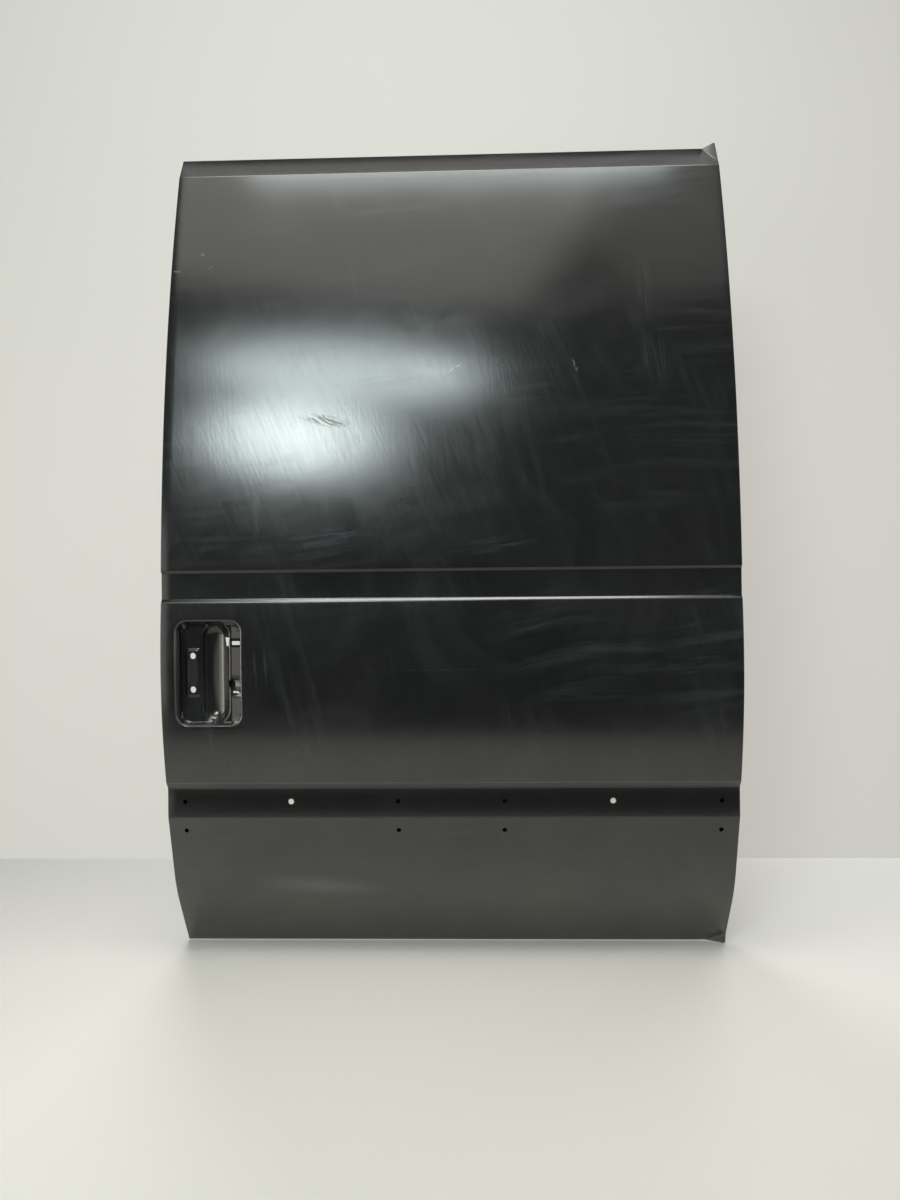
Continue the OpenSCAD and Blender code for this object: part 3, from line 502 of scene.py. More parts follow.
def finished(name, mesh, material, thickness=None, sharp=35):
    """The object for a mesh: smooth over its curves, sharp at creases and cut edges."""
    bm = bmesh.new()
    bm.from_mesh(mesh)
    for face in bm.faces:
        face.smooth = True
    for edge in bm.edges:
        edge.smooth = not edge.is_boundary and edge.calc_face_angle(0) < math.radians(sharp)
    bm.to_mesh(mesh)
    bm.free()
    mesh.materials.append(material)
    piece = bpy.data.objects.new(name, mesh)
    scene.collection.objects.link(piece)
    if thickness:
        wall = piece.modifiers.new("wall", "SOLIDIFY")
        wall.thickness = thickness
        wall.offset = -1
    return piece


def effect(name, inputs, output, kind="NodeSocketFloat"):
    """A node group over Object coordinates with these numbers as inputs and one output."""
    tree = bpy.data.node_groups.new(name, "ShaderNodeTree")
    tree.interface.new_socket("Place", in_out="INPUT", socket_type="NodeSocketVector")
    for title, value in inputs.items():
        socket = tree.interface.new_socket(title, in_out="INPUT", socket_type="NodeSocketFloat")
        socket.default_value = value
    tree.interface.new_socket(output, in_out="OUTPUT", socket_type=kind)
    start = tree.nodes.new("NodeGroupInput")
    end = tree.nodes.new("NodeGroupOutput")
    return tree, start.outputs, end.inputs[0]


def fed(tree, node, inputs):
    """Joins sockets to a node's inputs, and sets the inputs that are given as numbers."""
    for key, source in inputs.items():
        if isinstance(source, bpy.types.NodeSocket):
            tree.links.new(source, node.inputs[key])
        else:
            node.inputs[key].default_value = source
    return node


def put(tree, kind, inputs, **properties):
    node = tree.nodes.new("ShaderNode" + kind)
    for key, value in properties.items():
        setattr(node, key, value)
    return fed(tree, node, inputs)


def using(tree, group, inputs):
    """A shared effect, placed in a material with its own values."""
    node = tree.nodes.new("ShaderNodeGroup")
    node.node_tree = group
    return fed(tree, node, inputs).outputs[0]


def mask_math(tree, operation, *masks, clamp=False):
    return put(tree, "Math", dict(enumerate(masks)), operation=operation, use_clamp=clamp).outputs[0]


def apart(tree, value, line):
    return mask_math(tree, "ABSOLUTE", mask_math(tree, "SUBTRACT", value, line))


def product(tree, *masks):
    result = masks[0]
    for mask in masks[1:]:
        result = mask_math(tree, "MULTIPLY", result, mask, clamp=True)
    return result


def place_math(tree, operation, *places):
    return put(tree, "VectorMath", dict(enumerate(places)), operation=operation).outputs[0]


def reach(tree, place):
    return put(tree, "VectorMath", {0: place}, operation="LENGTH").outputs["Value"]


def turned(tree, place, rotation):
    return put(
        tree, "VectorRotate", {"Vector": place, "Rotation": rotation}, rotation_type="EULER_XYZ"
    ).outputs[0]


def part_of(tree, vector, axis):
    return put(tree, "SeparateXYZ", {"Vector": vector}).outputs[axis]


def cloud(tree, place, scale, detail=2.0, roughness=0.5, distortion=0.0):
    return put(tree, "TexNoise", {
        "Vector": place, "Scale": scale, "Detail": detail, "Roughness": roughness, "Distortion": distortion,
    }).outputs["Fac"]


def threads(tree, place, turn, stretch, detail, roughness):
    """Noise drawn out along one direction of the door's side: hairs, strokes and wisps."""
    drawn = place_math(tree, "MULTIPLY", turned(tree, place, (0, turn, 0)), stretch)
    return cloud(tree, drawn, 1.0, detail, roughness)


def ranged(tree, value, start, end, least=0.0, full=1.0, ends="SMOOTHSTEP"):
    """A mask that goes from least to full while the value goes from start to end."""
    return put(
        tree, "MapRange", {"Value": value, 1: start, 2: end, 3: least, 4: full}, interpolation_type=ends
    ).outputs[0]


def bumped(tree, height, distance, below=None, invert=False):
    """The normal of a relief, laid over another one if that is given."""
    inputs = {"Height": height, "Distance": distance, "Strength": 1.0}
    if below is not None:
        inputs["Normal"] = below
    return put(tree, "Bump", inputs, invert=invert).outputs["Normal"]


def spot(tree, place, middle, size, turn=0, soft=0.5):
    """A soft-edged patch on the side of the door, from its middle, half sizes and turn."""
    level = turned(tree, place_math(tree, "SUBTRACT", place, middle), (0, turn, 0))
    shrunk = place_math(tree, "MULTIPLY", level, (1 / size[0], 0, 1 / size[1]))
    return ranged(tree, reach(tree, shrunk), 1.0, 1.0 - soft)


def layered(tree, colour, layers):
    """One tint after another over a colour, each with its mask."""
    for mask, tint in layers:
        mix = put(tree, "Mix", {0: mask, 7: (*tint, 1)}, data_type="RGBA")
        fed(tree, mix, {6: colour if isinstance(colour, bpy.types.NodeSocket) else (*colour, 1)})
        colour = mix.outputs[2]
    return colour


def roughened(tree, base, layers):
    """Roughness that grows or falls with each mask by its share."""
    for mask, share in layers:
        base = mask_math(tree, "MULTIPLY_ADD", mask, share, base)
    return base


def sheet_metal_relief():
    """Orange peel of the dip primer over the slow waves of a large pressed panel."""
    tree, given, out = effect("pressed_sheet", {"Peel": 1, "Waves": 1}, "Normal", "NodeSocketVector")
    slow = mask_math(tree, "MULTIPLY", cloud(tree, given["Place"], 2.4, 1.0), given["Waves"])
    grain = mask_math(tree, "MULTIPLY", cloud(tree, given["Place"], 420.0), given["Peel"])
    tree.links.new(bumped(tree, grain, 0.000016, bumped(tree, slow, 0.0007)), out)
    return tree


def wiped_film():
    """Streaks that a cloth leaves in storage dust: long strokes in drifting patches."""
    tree, given, out = effect("wiped_film", {"Turn": 0.2, "Length": 12, "Cover": 0.5, "Seed": 0}, "Film")
    level = turned(tree, given["Place"], put(tree, "CombineXYZ", {"Y": given["Turn"]}).outputs[0])
    sway = put(tree, "TexNoise", {"Vector": level, "Scale": 1.6, "Detail": 1.0}).outputs["Color"]
    swayed = place_math(tree, "ADD", level, place_math(tree, "MULTIPLY", sway, (0.12, 0.12, 0.12)))
    stretch = put(tree, "CombineXYZ", {"X": 1.3, "Y": 1.3, "Z": given["Length"]}).outputs[0]
    drawn = place_math(tree, "ADD", place_math(tree, "MULTIPLY", swayed, stretch), given["Seed"])
    strokes = ranged(tree, cloud(tree, drawn, 2.2, 7.0, 0.62), 0.45, 0.72)
    drift = cloud(tree, place_math(tree, "ADD", given["Place"], given["Seed"]), 2.6, 3.0)
    both = mask_math(tree, "MULTIPLY", ranged(tree, drift, 0.42, 0.66), strokes)
    tree.links.new(mask_math(tree, "MULTIPLY", both, given["Cover"]), out)
    return tree


def settled_dust():
    """Fine specks and lint of warehouse dust, thicker in slow patches."""
    tree, given, out = effect("settled_dust", {"Amount": 1, "Seed": 0}, "Dust")
    place = place_math(tree, "ADD", given["Place"], given["Seed"])
    specks = ranged(tree, cloud(tree, place, 260.0, 4.0, 0.7), 0.56, 0.80, ends="LINEAR")
    thick = ranged(tree, cloud(tree, place, 4.5, 4.0, 0.6), 0.35, 0.75, ends="LINEAR")
    veil = ranged(tree, thick, 0.0, 1.0, 0.0, 0.35, "LINEAR")
    total = mask_math(tree, "ADD", mask_math(tree, "MULTIPLY", specks, thick), veil)
    tree.links.new(product(tree, total, given["Amount"]), out)
    return tree


pressed_sheet, wiped, dusty = sheet_metal_relief(), wiped_film(), settled_dust()

primer, tree, shader = plain("door_primer", (0.008, 0.0085, 0.0085), 0.22)
place = put(tree, "TexCoord", {}).outputs["Object"]
height = part_of(tree, place, "Z")
facing = part_of(tree, put(tree, "NewGeometry", {}).outputs["Normal"], "Y")
outer_side = ranged(tree, facing, 0.10, -0.15)

# A cloth's streaks over the whole side, one long scratch, and single wisps as in the photo.
level_wipes = using(tree, wiped, {"Place": place, "Turn": 0.12, "Length": 20.0, "Cover": 0.80, "Seed": 1.7})
slant_wipes = using(tree, wiped, {"Place": place, "Turn": -1.32, "Length": 24.0, "Cover": 0.55, "Seed": 8.3})
film = mask_math(tree, "MAXIMUM", level_wipes, slant_wipes)
broken = ranged(tree, cloud(tree, place, 130.0, 4.0, 0.6, 0.4), 0.40, 0.68, ends="LINEAR")
scratch = spot(tree, place, (-0.524, 0, -0.169), (0.235, 0.0016), 0.0, 0.8)
film = mask_math(tree, "MAXIMUM", film, product(tree, scratch, broken))
level_wisp = ranged(tree, threads(tree, place, 0.14, (9.0, 9.0, 170.0), 4.0, 0.65), 0.42, 0.66)
upright_wisp = ranged(tree, threads(tree, place, 0.08, (170.0, 9.0, 9.0), 4.0, 0.65), 0.42, 0.66)
for middle, size, turn, wisp in (
    ((-0.106, 0, 0.590), (0.022, 0.115), 0.06, upright_wisp),
    ((-0.092, 0, 0.440), (0.045, 0.085), 0.15, upright_wisp),
    ((-0.868, 0, -0.157), (0.050, 0.060), 0.0, upright_wisp),
    ((-0.422, 0, 0.072), (0.120, 0.024), 0.1, level_wisp),
    ((-0.734, 0, 0.090), (0.140, 0.036), 0.1, level_wisp),
    ((-0.955, 0, 0.300), (0.016, 0.200), 0.05, upright_wisp),
    ((-0.880, 0, 0.150), (0.012, 0.090), 0.02, upright_wisp),
    ((-0.042, 0, -0.157), (0.085, 0.055), 0.4, level_wisp),
):
    patch = product(tree, spot(tree, place, middle, size, turn, 0.9), 0.9, wisp)
    film = mask_math(tree, "MAXIMUM", film, patch)
film = product(tree, film, outer_side)
handled = product(tree, ranged(tree, cloud(tree, place, 3.4, 7.0, 0.62, 1.6), 0.44, 0.66), outer_side)

# Short scuffs, two of them on the creases of the bent corners, and the brown one.
scuffs = spot(tree, place, (-1.004, 0, 0.680), (0.006, 0.004), 0.3)
for middle, size, turn in (
    ((-1.054, 0, 0.643), (0.013, 0.0035), -0.2),
    ((-0.988, 0, 0.650), (0.009, 0.003), 0.5),
    ((-0.251, 0, 0.428), (0.004, 0.020), 0.35),
    ((-0.488, 0, 0.426), (0.026, 0.0035), 0.55),
    ((0.0465, 0, 0.8915), (0.022, 0.0024), -0.90),
    ((0.0370, 0, -0.7400), (0.026, 0.0022), 0.38),
):
    scuffs = mask_math(tree, "MAXIMUM", scuffs, spot(tree, place, middle, size, turn, 0.8))
scuffs = product(tree, scuffs, outer_side, broken)
brush_marks = ranged(tree, threads(tree, place, -0.50, (40.0, 40.0, 270.0), 3.0, 0.6), 0.44, 0.60)
brown = spot(tree, place, (-0.741, 0, 0.322), (0.060, 0.015), -0.18, 0.8)
brown = product(tree, brown, brush_marks, outer_side)

# The rolled rim of the pocket gets a painted highlight, partly wear, and the creases of the side get painted
# highlight lines.
pocket_middle = (pocket_x + seat_of_origin.x, 0, pocket_z + seat_of_origin.z)
off_middle = place_math(tree, "ABSOLUTE", place_math(tree, "SUBTRACT", place, pocket_middle))
past_core = place_math(tree, "SUBTRACT", off_middle, (core_w, 1.0, core_h))
past_core = place_math(tree, "MAXIMUM", past_core, (0, 0, 0))
rim_sheen_and_wear = ranged(tree, apart(tree, reach(tree, past_core), pocket_r + 0.0012), 0.0024, 0.0008, 0.0, 0.75)
uneven = ranged(tree, cloud(tree, place, 5.0, 4.0, 0.6), 0.3, 0.7, 0.55, 1.0, "LINEAR")
crease_highlights = []
# Patchy painted highlight lines along the band's edge, the strip's lip, the top bend and the foot.
for crease_z, half, full in (
    (-0.0340, 0.0022, 0.55), (-0.3925, 0.0022, 0.40), (0.8630, 0.0018, 0.45), (-0.7490, 0.0030, 0.5),
):
    crease_glint = ranged(tree, apart(tree, height, crease_z), half, half * 0.3, 0.0, full)
    crease_highlights.append(product(tree, crease_glint, uneven, outer_side))

# Dust all over, on the pad and in the trough, with painted light and painted shade in places on the lower
# side.
dust = using(tree, dusty, {"Place": place, "Amount": 0.55, "Seed": 3.1})
strip_seat_z = -0.4325
outside_seat = ranged(tree, apart(tree, height, strip_seat_z), 0.028, 0.034)
# Painted shade: the strip's recessed seat is darker than the clean primer.
seat_shade = product(tree, mask_math(tree, "SUBTRACT", 1.0, outside_seat), outer_side)
# Painted reflection of the pale floor: the side gets paler towards the foot, patchy, and not in the seat.
foot_floor_reflection = product(tree, ranged(tree, height, -0.24, -0.42), outside_seat, uneven, outer_side)
foot_edge_reflection = product(tree, ranged(tree, height, -0.50, -0.70), uneven, outer_side)
# Painted highlight: a soft bluish patch on the tuck's bend.
tuck_highlight = product(tree, spot(tree, place, (-0.770, 0, -0.612), (0.170, 0.028), -0.06, 1.0), outer_side)
pad_dust = product(tree, spot(tree, place, (-1.0115, 0, -0.173), (0.011, 0.040), 0.0, 0.2), outer_side)
sweep = cloud(tree, place_math(tree, "MULTIPLY", place, (520.0, 60.0, 9.0)), 1.0, 3.0, 0.6)
# Dust with a painted highlight on the right wall of the trough.
trough_dust_and_sheen = spot(tree, place, (-0.9590, 0, -0.176), (0.020, 0.098), 0.0, 0.45)
trough_dust_and_sheen = product(tree, trough_dust_and_sheen, ranged(tree, sweep, 0.30, 0.62, 0.45, 1.0, "LINEAR"), outer_side)

colour = layered(tree, (0.0058, 0.0061, 0.0062), [
    (product(tree, handled, 0.5), (0.0160, 0.0168, 0.0175)),
    (product(tree, film, 0.5), (0.044, 0.047, 0.050)),
    (product(tree, dust, 0.35), (0.060, 0.056, 0.050)),
    (product(tree, pad_dust, 0.8), (0.030, 0.024, 0.022)),
    (rim_sheen_and_wear, (0.070, 0.070, 0.066)),
    (product(tree, brown, 0.85), (0.056, 0.039, 0.023)),
    (seat_shade, (0.0030, 0.0031, 0.0031)),
    (foot_floor_reflection, (0.034, 0.034, 0.031)),
    (foot_edge_reflection, (0.064, 0.063, 0.057)),
    (product(tree, tuck_highlight, 0.8), (0.080, 0.086, 0.080)),
    (trough_dust_and_sheen, (0.078, 0.073, 0.058)),
    *((lit_line, (0.115, 0.115, 0.11)) for lit_line in crease_highlights),
    (scuffs, (0.16, 0.16, 0.155)),
])
hair = threads(tree, place, -1.15, (5.0, 5.0, 200.0), 3.0, 0.7)
both_hairs = mask_math(tree, "ADD", threads(tree, place, 0.10, (170.0, 12.0, 2.4), 4.0, 0.7), hair)
matter = roughened(tree, 0.135, [
    (film, 0.035), (dust, 0.10), (brown, 0.20), (handled, 0.022), (hair, 0.080),
])
relief = using(tree, pressed_sheet, {"Place": place, "Peel": 1.0, "Waves": 1.0})
relief = bumped(tree, both_hairs, 0.000055, relief)
fed(tree, shader, {"IOR": 1.6, "Base Color": colour, "Roughness": matter, "Normal": relief})
skin_mesh, sealant_mesh = make_skin()
skin = finished("door_skin", skin_mesh, primer, skin_t)
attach(skin, "root")
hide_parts("outer_skin")

# Handle pocket: a small deep-drawn tray of 1 mm steel, spot-welded behind the skin's opening. It
# has a raised pad with the handle's two screw holes, a deep round trough for the fingers, and
# punched openings for the lever, its pin and its spring.
seat_plane, floor_y, ledge_y, pad_y, cup_y = 0.0120, 0.0270, 0.0210, 0.0240, 0.0355
pad_x, pad_w, pad_h, pad_slope = -0.5085, 0.021, 0.0887, (0.0002, 0.0028)
scoop_x, scoop_y, scoop_r, scoop_reach = -0.4640, 0.0130, 0.0300, 0.0712
ledge_ramp, trough_blend = 0.006, 0.003
wall_in, wall_turn, pocket_t = 0.0008, 0.0045, 0.0010
flange_out, flange_start, cell = 0.0070, 0.0006, 0.0020
screw_pitch, screw_r, pin_r = 0.0667, 0.0063, 0.0075
spring_in, spring_out = 0.0125, 0.0170


def eased(value, start, end):
    t = max(0.0, min(1.0, (value - start) / (end - start)))
    return t * t * (3 - 2 * t)


def inside_wall(x, z):
    """How far a point of the tray lies in from its wall."""
    r = pocket_r - wall_in
    qx = abs(x - pocket_x) - (pocket_w / 2 - wall_in - r)
    qz = abs(z - pocket_z) - (pocket_h / 2 - wall_in - r)
    return r - math.hypot(max(qx, 0), max(qz, 0)) - min(max(qx, qz), 0)


def tray_depth(x, z):
    """The pressed form: floor, ledge, trough with ball ends, and screw pad, run into each other."""
    aside = x - scoop_x
    base = floor_y + (ledge_y - floor_y) * eased(aside, -ledge_ramp, ledge_ramp)
    past = max(0.0, abs(z - pocket_z) - scoop_reach)
    room = scoop_r**2 - aside**2 - past**2
    trough = scoop_y + math.sqrt(room) if room > 0 else 0.0
    near = max(trough_blend - abs(base - trough), 0) / trough_blend
    depth = max(base, trough) + near * near * trough_blend / 4
    off_x = max(abs(x - pad_x) - pad_w / 2, 0)
    off_z = max(abs(z - pocket_z) - pad_h / 2, 0)
    lift = 1 - eased(math.hypot(off_x, off_z), *pad_slope)
    depth -= (floor_y - pad_y) * lift
    t = min(1.0, max(0.0, inside_wall(x, z) / wall_turn))
    return seat_plane + (depth - seat_plane) * math.sqrt(1 - (1 - t) ** 2)


def punched(bm, corners):
    """Punches a hole with straight sides through the tray, at whatever depth it lies."""
    xs, zs = zip(*corners)
    margin = 0.003
    sides = []
    for (x0, z0), (x1, z1) in zip(corners, corners[1:] + corners[:1]):
        sides.append((Vector((x0, 0, z0)), Vector((z1 - z0, 0, x0 - x1)).normalized()))

    def near():
        return [
            f for f in bm.faces
            if min(xs) - margin < f.calc_center_median().x < max(xs) + margin
            and min(zs) - margin < f.calc_center_median().z < max(zs) + margin
        ]

    for point, outward in sides:
        cut_line(bm, point, outward, near())
    gone = [
        f for f in near()
        if all((f.calc_center_median() - point).dot(outward) < 0 for point, outward in sides)
    ]
    bmesh.ops.delete(bm, geom=gone, context="FACES")


def disc(x, z, r, count=28):
    """Corners of a round hole, clockwise as it is looked at from outside."""
    turns = [2 * math.pi * i / count for i in range(count)]
    return [(x + r * math.cos(turn), z + r * math.sin(turn)) for turn in turns]


def tray_outline(bm, w, h, r):
    """A closed loop with rounded corners, round the middle of the pocket."""
    corners = bmesh.ops.create_grid(bm, x_segments=1, y_segments=1, size=0.5)["verts"]
    bmesh.ops.scale(bm, vec=(w, h, 1), verts=corners)
    bevelled(bm, corners, r, 10, "VERTICES")
    bmesh.ops.subdivide_edges(bm, edges=[e for e in bm.edges if e.calc_length() > r], cuts=20)
    bmesh.ops.delete(bm, geom=bm.faces[:], context="FACES_ONLY")
    for v in bm.verts:
        v.co = (v.co.x + pocket_x, 0, v.co.y + pocket_z)


def make_tray():
    bm = bmesh.new()
    tray_outline(bm, pocket_w - 2 * wall_in, pocket_h - 2 * wall_in, pocket_r - wall_in)
    floor = bmesh.ops.edgeloop_fill(bm, edges=bm.edges[:])["faces"]
    for width in (0.00015, 0.0004, 0.0007, 0.0010, 0.0011, 0.0012):
        bmesh.ops.inset_region(bm, faces=floor, thickness=width, use_even_offset=True)
    for axis, middle, half in ((0, pocket_x, pocket_w / 2), (2, pocket_z, pocket_h / 2)):
        for i in range(1, int(2 * half / cell)):
            point, normal = Vector((0, 0, 0)), Vector((0, 0, 0))
            point[axis], normal[axis] = middle - half + i * cell, 1
            inner = [f for f in bm.faces if inside_wall(*f.calc_center_median().xz) > wall_turn + 1e-4]
            cut_line(bm, point, normal, inner)
    edge_x = pocket_x + pocket_w / 2
    pin_x, pin_z = edge_x - 0.0225, pocket_z - 0.022
    spring_x, spring_z = edge_x - 0.013, pocket_z - 0.024
    for side in (-1, 1):
        punched(bm, disc(pad_x, pocket_z + side * screw_pitch / 2, screw_r))
    for corners in (
        [(-0.0365, 0.052), (-0.0285, 0.052), (-0.0255, 0.069), (-0.0395, 0.069)],
        [(-0.021, 0.0545), (-0.0055, 0.0545), (-0.0055, 0.062), (-0.021, 0.062)],
    ):
        punched(bm, [(edge_x + x, pocket_z + z) for x, z in corners])
    punched(bm, disc(pin_x, pin_z, pin_r))
    arc = [math.radians(a) for a in (-114, -100, -86, -72)]
    for a, b in zip(arc, arc[1:]):
        punched(bm, [
            (spring_x + r * math.cos(turn), spring_z + r * math.sin(turn))
            for r, turn in ((spring_in, a), (spring_out, a), (spring_out, b), (spring_in, b))
        ])
    for v in bm.verts:
        v.co.y = tray_depth(v.co.x, v.co.z)
    bmesh.ops.remove_doubles(bm, verts=bm.verts, dist=same_point)
    cup = [
        e for e in bm.edges
        if e.is_boundary and all(math.hypot(v.co.x - pin_x, v.co.z - pin_z) < pin_r + 2e-3 for v in e.verts)
    ]
    bmesh.ops.holes_fill(bm, edges=moved_ring(bm, cup, lambda v: Vector((0, cup_y - v.co.y, 0))))
    rim = [e for e in bm.edges if e.is_boundary and inside_wall(*e.verts[0].co.xz) < 1e-4]

    def outwards(v):
        return (v.co - pocket_core(v)).normalized()

    rim = moved_ring(bm, rim, lambda v: outwards(v) * flange_start)
    moved_ring(bm, rim, lambda v: outwards(v) * (flange_out - flange_start))
    bmesh.ops.remove_doubles(bm, verts=bm.verts, dist=1e-7)
    facing_out(bm)
    bmesh.ops.translate(bm, vec=seat_of_origin, verts=bm.verts)
    return as_mesh(bm, "handle_tray")


tray = finished("handle_tray", make_tray(), primer, pocket_t, 60)
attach(tray, "root")
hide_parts("handle_pocket")

# Inner frame: stiles, rails, braces, centre post and lower inner panel, folded and pressed from
# 1 mm steel, spot-welded to each other where they lap and dipped with the skin. The CAD parts
# keep their shape here; their folds get the press's radii and their cut edges a broken corner.
fold_r, sheet_t, broken_edge = 0.0014, 0.0010, 0.00025
widest_cut_edge, shortest_fold = 0.0030, 0.02


def merged_copy(node):
    """The CAD part as joined faces, each flat stretch one face."""
    bm = bmesh.new()
    bm.from_mesh(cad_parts[node].data)
    bmesh.ops.remove_doubles(bm, verts=bm.verts, dist=1e-5)
    bmesh.ops.dissolve_limit(
        bm, angle_limit=math.radians(0.4), verts=bm.verts, edges=bm.edges, delimit={"NORMAL"},
    )
    return bm


def broad(face):
    """True for a face of the sheet, and not for one of its cut edges."""
    return face.calc_area() / max(e.calc_length() for e in face.edges) > widest_cut_edge


def folds(bm, convex):
    """The fold lines of the sheet on its outer or its inner side."""
    return [
        e for e in bm.edges
        if len(e.link_faces) == 2 and e.calc_face_angle() > math.radians(32)
        and e.is_convex == convex and e.calc_length() > shortest_fold and all(broad(f) for f in e.link_faces)
    ]


def folded(node, material, radii=True):
    """A finished part of the CAD: rounded folds if it has any, and every other edge broken."""
    bm = merged_copy(node)
    if radii:
        for convex, offset in ((True, fold_r + sheet_t), (False, fold_r)):
            lines = folds(bm, convex)
            if lines:
                bevelled(bm, lines, offset, 4, clamp=True)
    name = node + ("_bead" if "mastic" in node else "_pressed")
    piece = finished(name, as_mesh(bm, name), material, sharp=28)
    soft = piece.modifiers.new("broken_edges", "BEVEL")
    soft.width = broken_edge
    soft.segments = 1
    soft.limit_method = "ANGLE"
    soft.angle_limit = math.radians(50)
    soft.harden_normals = False
    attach(piece, "root")
    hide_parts(node)


def weld_rows():
    """Round dents of a spot welder, 6 mm across, in one row on both halves of the door."""
    tree, given, out = effect("weld_rows", {"Line": 0.4, "Pitch": 0.05, "Low": -1, "High": 1}, "Dent")
    height = part_of(tree, given["Place"], "Z")
    aside = mask_math(tree, "ABSOLUTE", part_of(tree, given["Place"], "X"))
    off = mask_math(tree, "SUBTRACT", aside, given["Line"])
    step = mask_math(tree, "FRACT", mask_math(tree, "DIVIDE", height, given["Pitch"]))
    along = mask_math(tree, "MULTIPLY", mask_math(tree, "SUBTRACT", step, 0.5), given["Pitch"])
    both = put(tree, "CombineXYZ", {"X": off, "Y": along}).outputs[0]
    dent = ranged(tree, reach(tree, both), 0.0032, 0.0022)
    over = mask_math(tree, "GREATER_THAN", height, given["Low"])
    under = mask_math(tree, "LESS_THAN", height, given["High"])
    tree.links.new(product(tree, dent, over, under), out)
    return tree


def dip_runs():
    """Faint upright runs and bands that the dip leaves where it drains off folded sheet."""
    tree, given, out = effect("dip_runs", {"Amount": 1, "Seed": 0}, "Runs")
    moved = place_math(tree, "ADD", given["Place"], given["Seed"])
    drawn = place_math(tree, "MULTIPLY", moved, (26.0, 26.0, 1.6))
    runs = ranged(tree, cloud(tree, drawn, 1.0, 4.0, 0.55), 0.52, 0.74)
    tree.links.new(product(tree, runs, given["Amount"]), out)
    return tree


weld_row, run_marks = weld_rows(), dip_runs()
frame_primer, tree, shader = plain("frame_primer", (0.011, 0.0115, 0.012), 0.36)
place = put(tree, "TexCoord", {}).outputs["Object"]
centred = place_math(tree, "ADD", place, (-seat_of_origin.x, 0, 0))
runs = using(tree, run_marks, {"Place": place, "Amount": 1.0, "Seed": 4.2})
dust = using(tree, dusty, {"Place": place, "Amount": 0.9, "Seed": 9.6})
level = part_of(tree, put(tree, "NewGeometry", {}).outputs["Normal"], "Z")
ledge = ranged(tree, level, 0.35, 0.95)
dents = using(tree, weld_row, {"Place": centred, "Line": 0.453, "Pitch": 0.052, "Low": -0.66, "High": -0.03})
for line, pitch, low_end, high_end in (
    (0.5560, 0.060, -0.74, 0.90),
    (0.4960, 0.046, 0.80, 0.87),
    (0.4760, 0.046, -0.72, -0.63),
    (0.0420, 0.058, -0.63, -0.05),
):
    row = {"Place": centred, "Line": line, "Pitch": pitch, "Low": low_end, "High": high_end}
    dents = mask_math(tree, "MAXIMUM", dents, using(tree, weld_row, row))
colour = layered(tree, (0.018, 0.019, 0.020), [
    (product(tree, runs, 0.45), (0.034, 0.036, 0.038)),
    (product(tree, dust, 0.30), (0.070, 0.065, 0.058)),
    (product(tree, ledge, 0.35), (0.085, 0.080, 0.072)),
    (product(tree, dents, 0.6), (0.006, 0.006, 0.006)),
])
matter = roughened(tree, 0.36, [(runs, -0.08), (dust, 0.18), (ledge, 0.25)])
relief = using(tree, pressed_sheet, {"Place": place, "Peel": 1.6, "Waves": 0.5})
relief = bumped(tree, dents, 0.0003, relief, invert=True)
fed(tree, shader, {"IOR": 1.55, "Base Color": colour, "Roughness": matter, "Normal": relief})

for node in (
    "front_stile", "lower_rear_stile", "upper_rear_stile", "top_rail", "bottom_rail", "waist_rail",
    "lower_inner_panel", "centre_post", "lower_brace", "upper_brace",
):
    folded(node, frame_primer)

# Reinforcement plates: flat 2 and 3 mm steel laid on the frame where the roller arms, the middle
# bracket, the lock, the catch and the handle are screwed on. They are punched, their cut edges
# are slightly broken, and they are welded on before the door is dipped.
for node in (
    "middle_bracket_plate", "upper_arm_plate", "lower_arm_plate", "lock_plate", "rear_catch_plate",
    "handle_backing_plate",
):
    folded(node, frame_primer, radii=False)

# Weld nuts: M8 steel nuts behind the roller plates and M6 ones behind the lock and the catch. Each
# is projection-welded to the far side of its sheet, and takes the screw from the plate's side.
nut_chamfer, nut_foot = 0.0006, 0.0012
bracket_half_x, bracket_half_z, bracket_plate = 0.018, 0.035, 0.0042
m8_nut, m6_nut = (0.014, 0.0065, 0.0034), (0.010, 0.005, 0.0026)


def weld_nut(bm, seat, axis, across, height, hole):
    """A six-sided nut on its seat, made as a ring carried round its own section."""
    known = set(bm.verts)
    inner = bmesh.ops.create_circle(bm, cap_ends=False, segments=24, radius=hole + nut_chamfer)["verts"]
    ring = list({e for v in inner for e in v.link_edges})

    def out_to(v, r, rise=0.0):
        flat = Vector((v.co.x, v.co.y, 0)).normalized() * r
        return Vector((flat.x, flat.y, v.co.z + rise)) - v.co

    def hexagon(v):
        turn = math.atan2(v.co.y, v.co.x) % math.radians(60) - math.radians(30)
        return out_to(v, across / 2 / math.cos(turn))

    for move in (
        hexagon,
        lambda v: Vector((0, 0, height * 0.86)),
        lambda v: out_to(v, across * 0.48, height * 0.14),
        lambda v: out_to(v, hole + nut_chamfer),
        lambda v: out_to(v, hole, -nut_chamfer),
        lambda v: Vector((0, 0, nut_foot - height)),
        lambda v: out_to(v, hole + nut_chamfer, -nut_chamfer),
    ):
        ring = moved_ring(bm, ring, move)
    bmesh.ops.remove_doubles(bm, verts=[v for v in bm.verts if v not in known], dist=2e-5)
    turn = Vector((0, 0, 1)).rotation_difference(Vector(axis)).to_matrix().to_4x4()
    made = [v for v in bm.verts if v not in known]
    bmesh.ops.transform(bm, matrix=Matrix.Translation(seat) @ turn, verts=made)


def nuts_piece(name, seats, axis, size):
    bm = bmesh.new()
    for seat in seats:
        weld_nut(bm, Vector(seat) + seat_of_origin, axis, *size)
    bmesh.ops.recalc_face_normals(bm, faces=bm.faces)
    piece = finished(name, as_mesh(bm, name), frame_primer, sharp=40)
    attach(piece, "root")


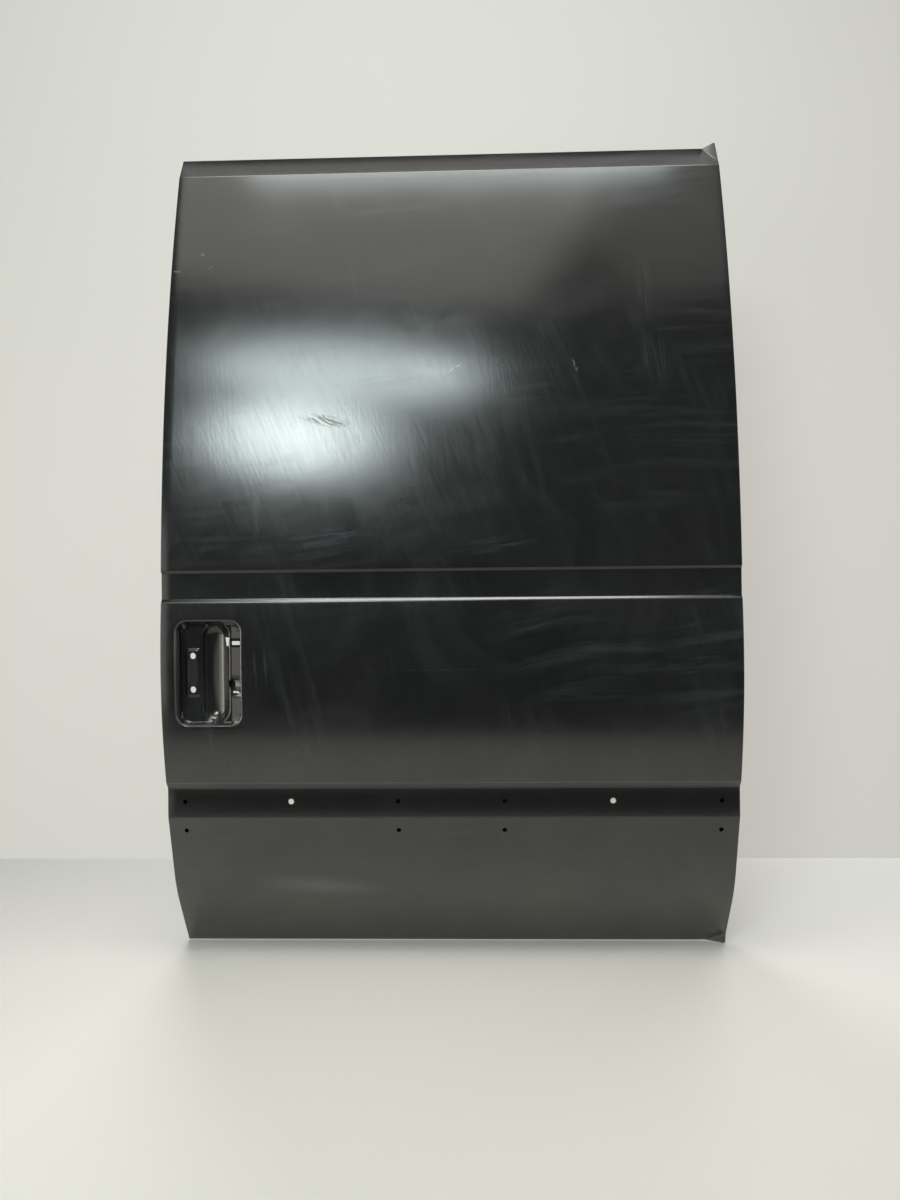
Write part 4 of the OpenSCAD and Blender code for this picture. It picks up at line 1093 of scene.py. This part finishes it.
nuts_piece("bracket_weld_nuts", [
    Vector((dx * bracket_half_x, -bracket_plate, dz * bracket_half_z)) - seat_of_origin
    for dx in (-1, 1) for dz in (-1, 1)
], (0, -1, 0), m8_nut)
for name, y, z, outward in (
    ("upper_arm_weld_nuts", 0.1861, 0.8579, Vector((0, 0.92478, -0.38050))),
    ("lower_arm_weld_nuts", 0.1609, -0.6265, Vector((0, 0.85717, 0.51504))),
):
    seats = [Vector((x, y, z)) - outward * 0.0036 for x in (-0.522, -0.470)]
    nuts_piece(name, seats, -outward, m8_nut)
for name, x, y, z, half_pitch, way in (
    ("lock_weld_nuts", -0.5430, 0.0325, pocket_z, 0.042, 1),
    ("catch_weld_nuts", 0.5430, middle_y(-0.250) + 0.030, -0.250, 0.026, -1),
):
    nuts_piece(name, [(x, y, z + side * half_pitch) for side in (-1, 1)], (way, 0, 0), m6_nut)

# Hem sealant: a bead of grey sealant brushed over the cut edge of the folded hem all round the
# inner side, so that no water gets between skin and frame. It lies flat, with uneven edges.
sealer, tree, shader = plain("hem_sealer", (0.016, 0.017, 0.017), 0.55)
place = put(tree, "TexCoord", {}).outputs["Object"]
brushed = cloud(tree, place, 150.0, 3.0, 0.6)
dust = using(tree, dusty, {"Place": place, "Amount": 0.9, "Seed": 5.5})
colour = layered(tree, (0.012, 0.0125, 0.013), [
    (brushed, (0.022, 0.023, 0.023)),
    (product(tree, dust, 0.4), (0.075, 0.070, 0.062)),
])
matter = ranged(tree, brushed, 0.3, 0.7, 0.45, 0.70, "LINEAR")
fed(tree, shader, {"Base Color": colour, "Roughness": matter, "Normal": bumped(tree, brushed, 0.0004)})
sealant = finished("hem_sealant", sealant_mesh, sealer, sharp=60)
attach(sealant, "root")

# Mastic: soft rubbery beads, pumped on the flanges of waist rail, braces and centre post before the
# skin goes over them. They swell in the paint oven and hold it without marks, and are finely pitted.
mastic, tree, shader = plain("swollen_mastic", (0.022, 0.022, 0.022), 0.8)
place = put(tree, "TexCoord", {}).outputs["Object"]
pits = cloud(tree, place, 420.0, 4.0, 0.65)
colour = layered(tree, (0.014, 0.014, 0.014), [(pits, (0.034, 0.033, 0.032))])
matter = ranged(tree, pits, 0.3, 0.7, 0.70, 0.92, "LINEAR")
swell = bumped(tree, cloud(tree, place, 60.0), 0.0012)
fed(tree, shader, {"Base Color": colour, "Roughness": matter, "Normal": bumped(tree, pits, 0.0003, swell)})
for node in ("waist_mastic", "lower_brace_mastic", "upper_brace_mastic", "centre_post_mastic"):
    folded(node, mastic, radii=False)
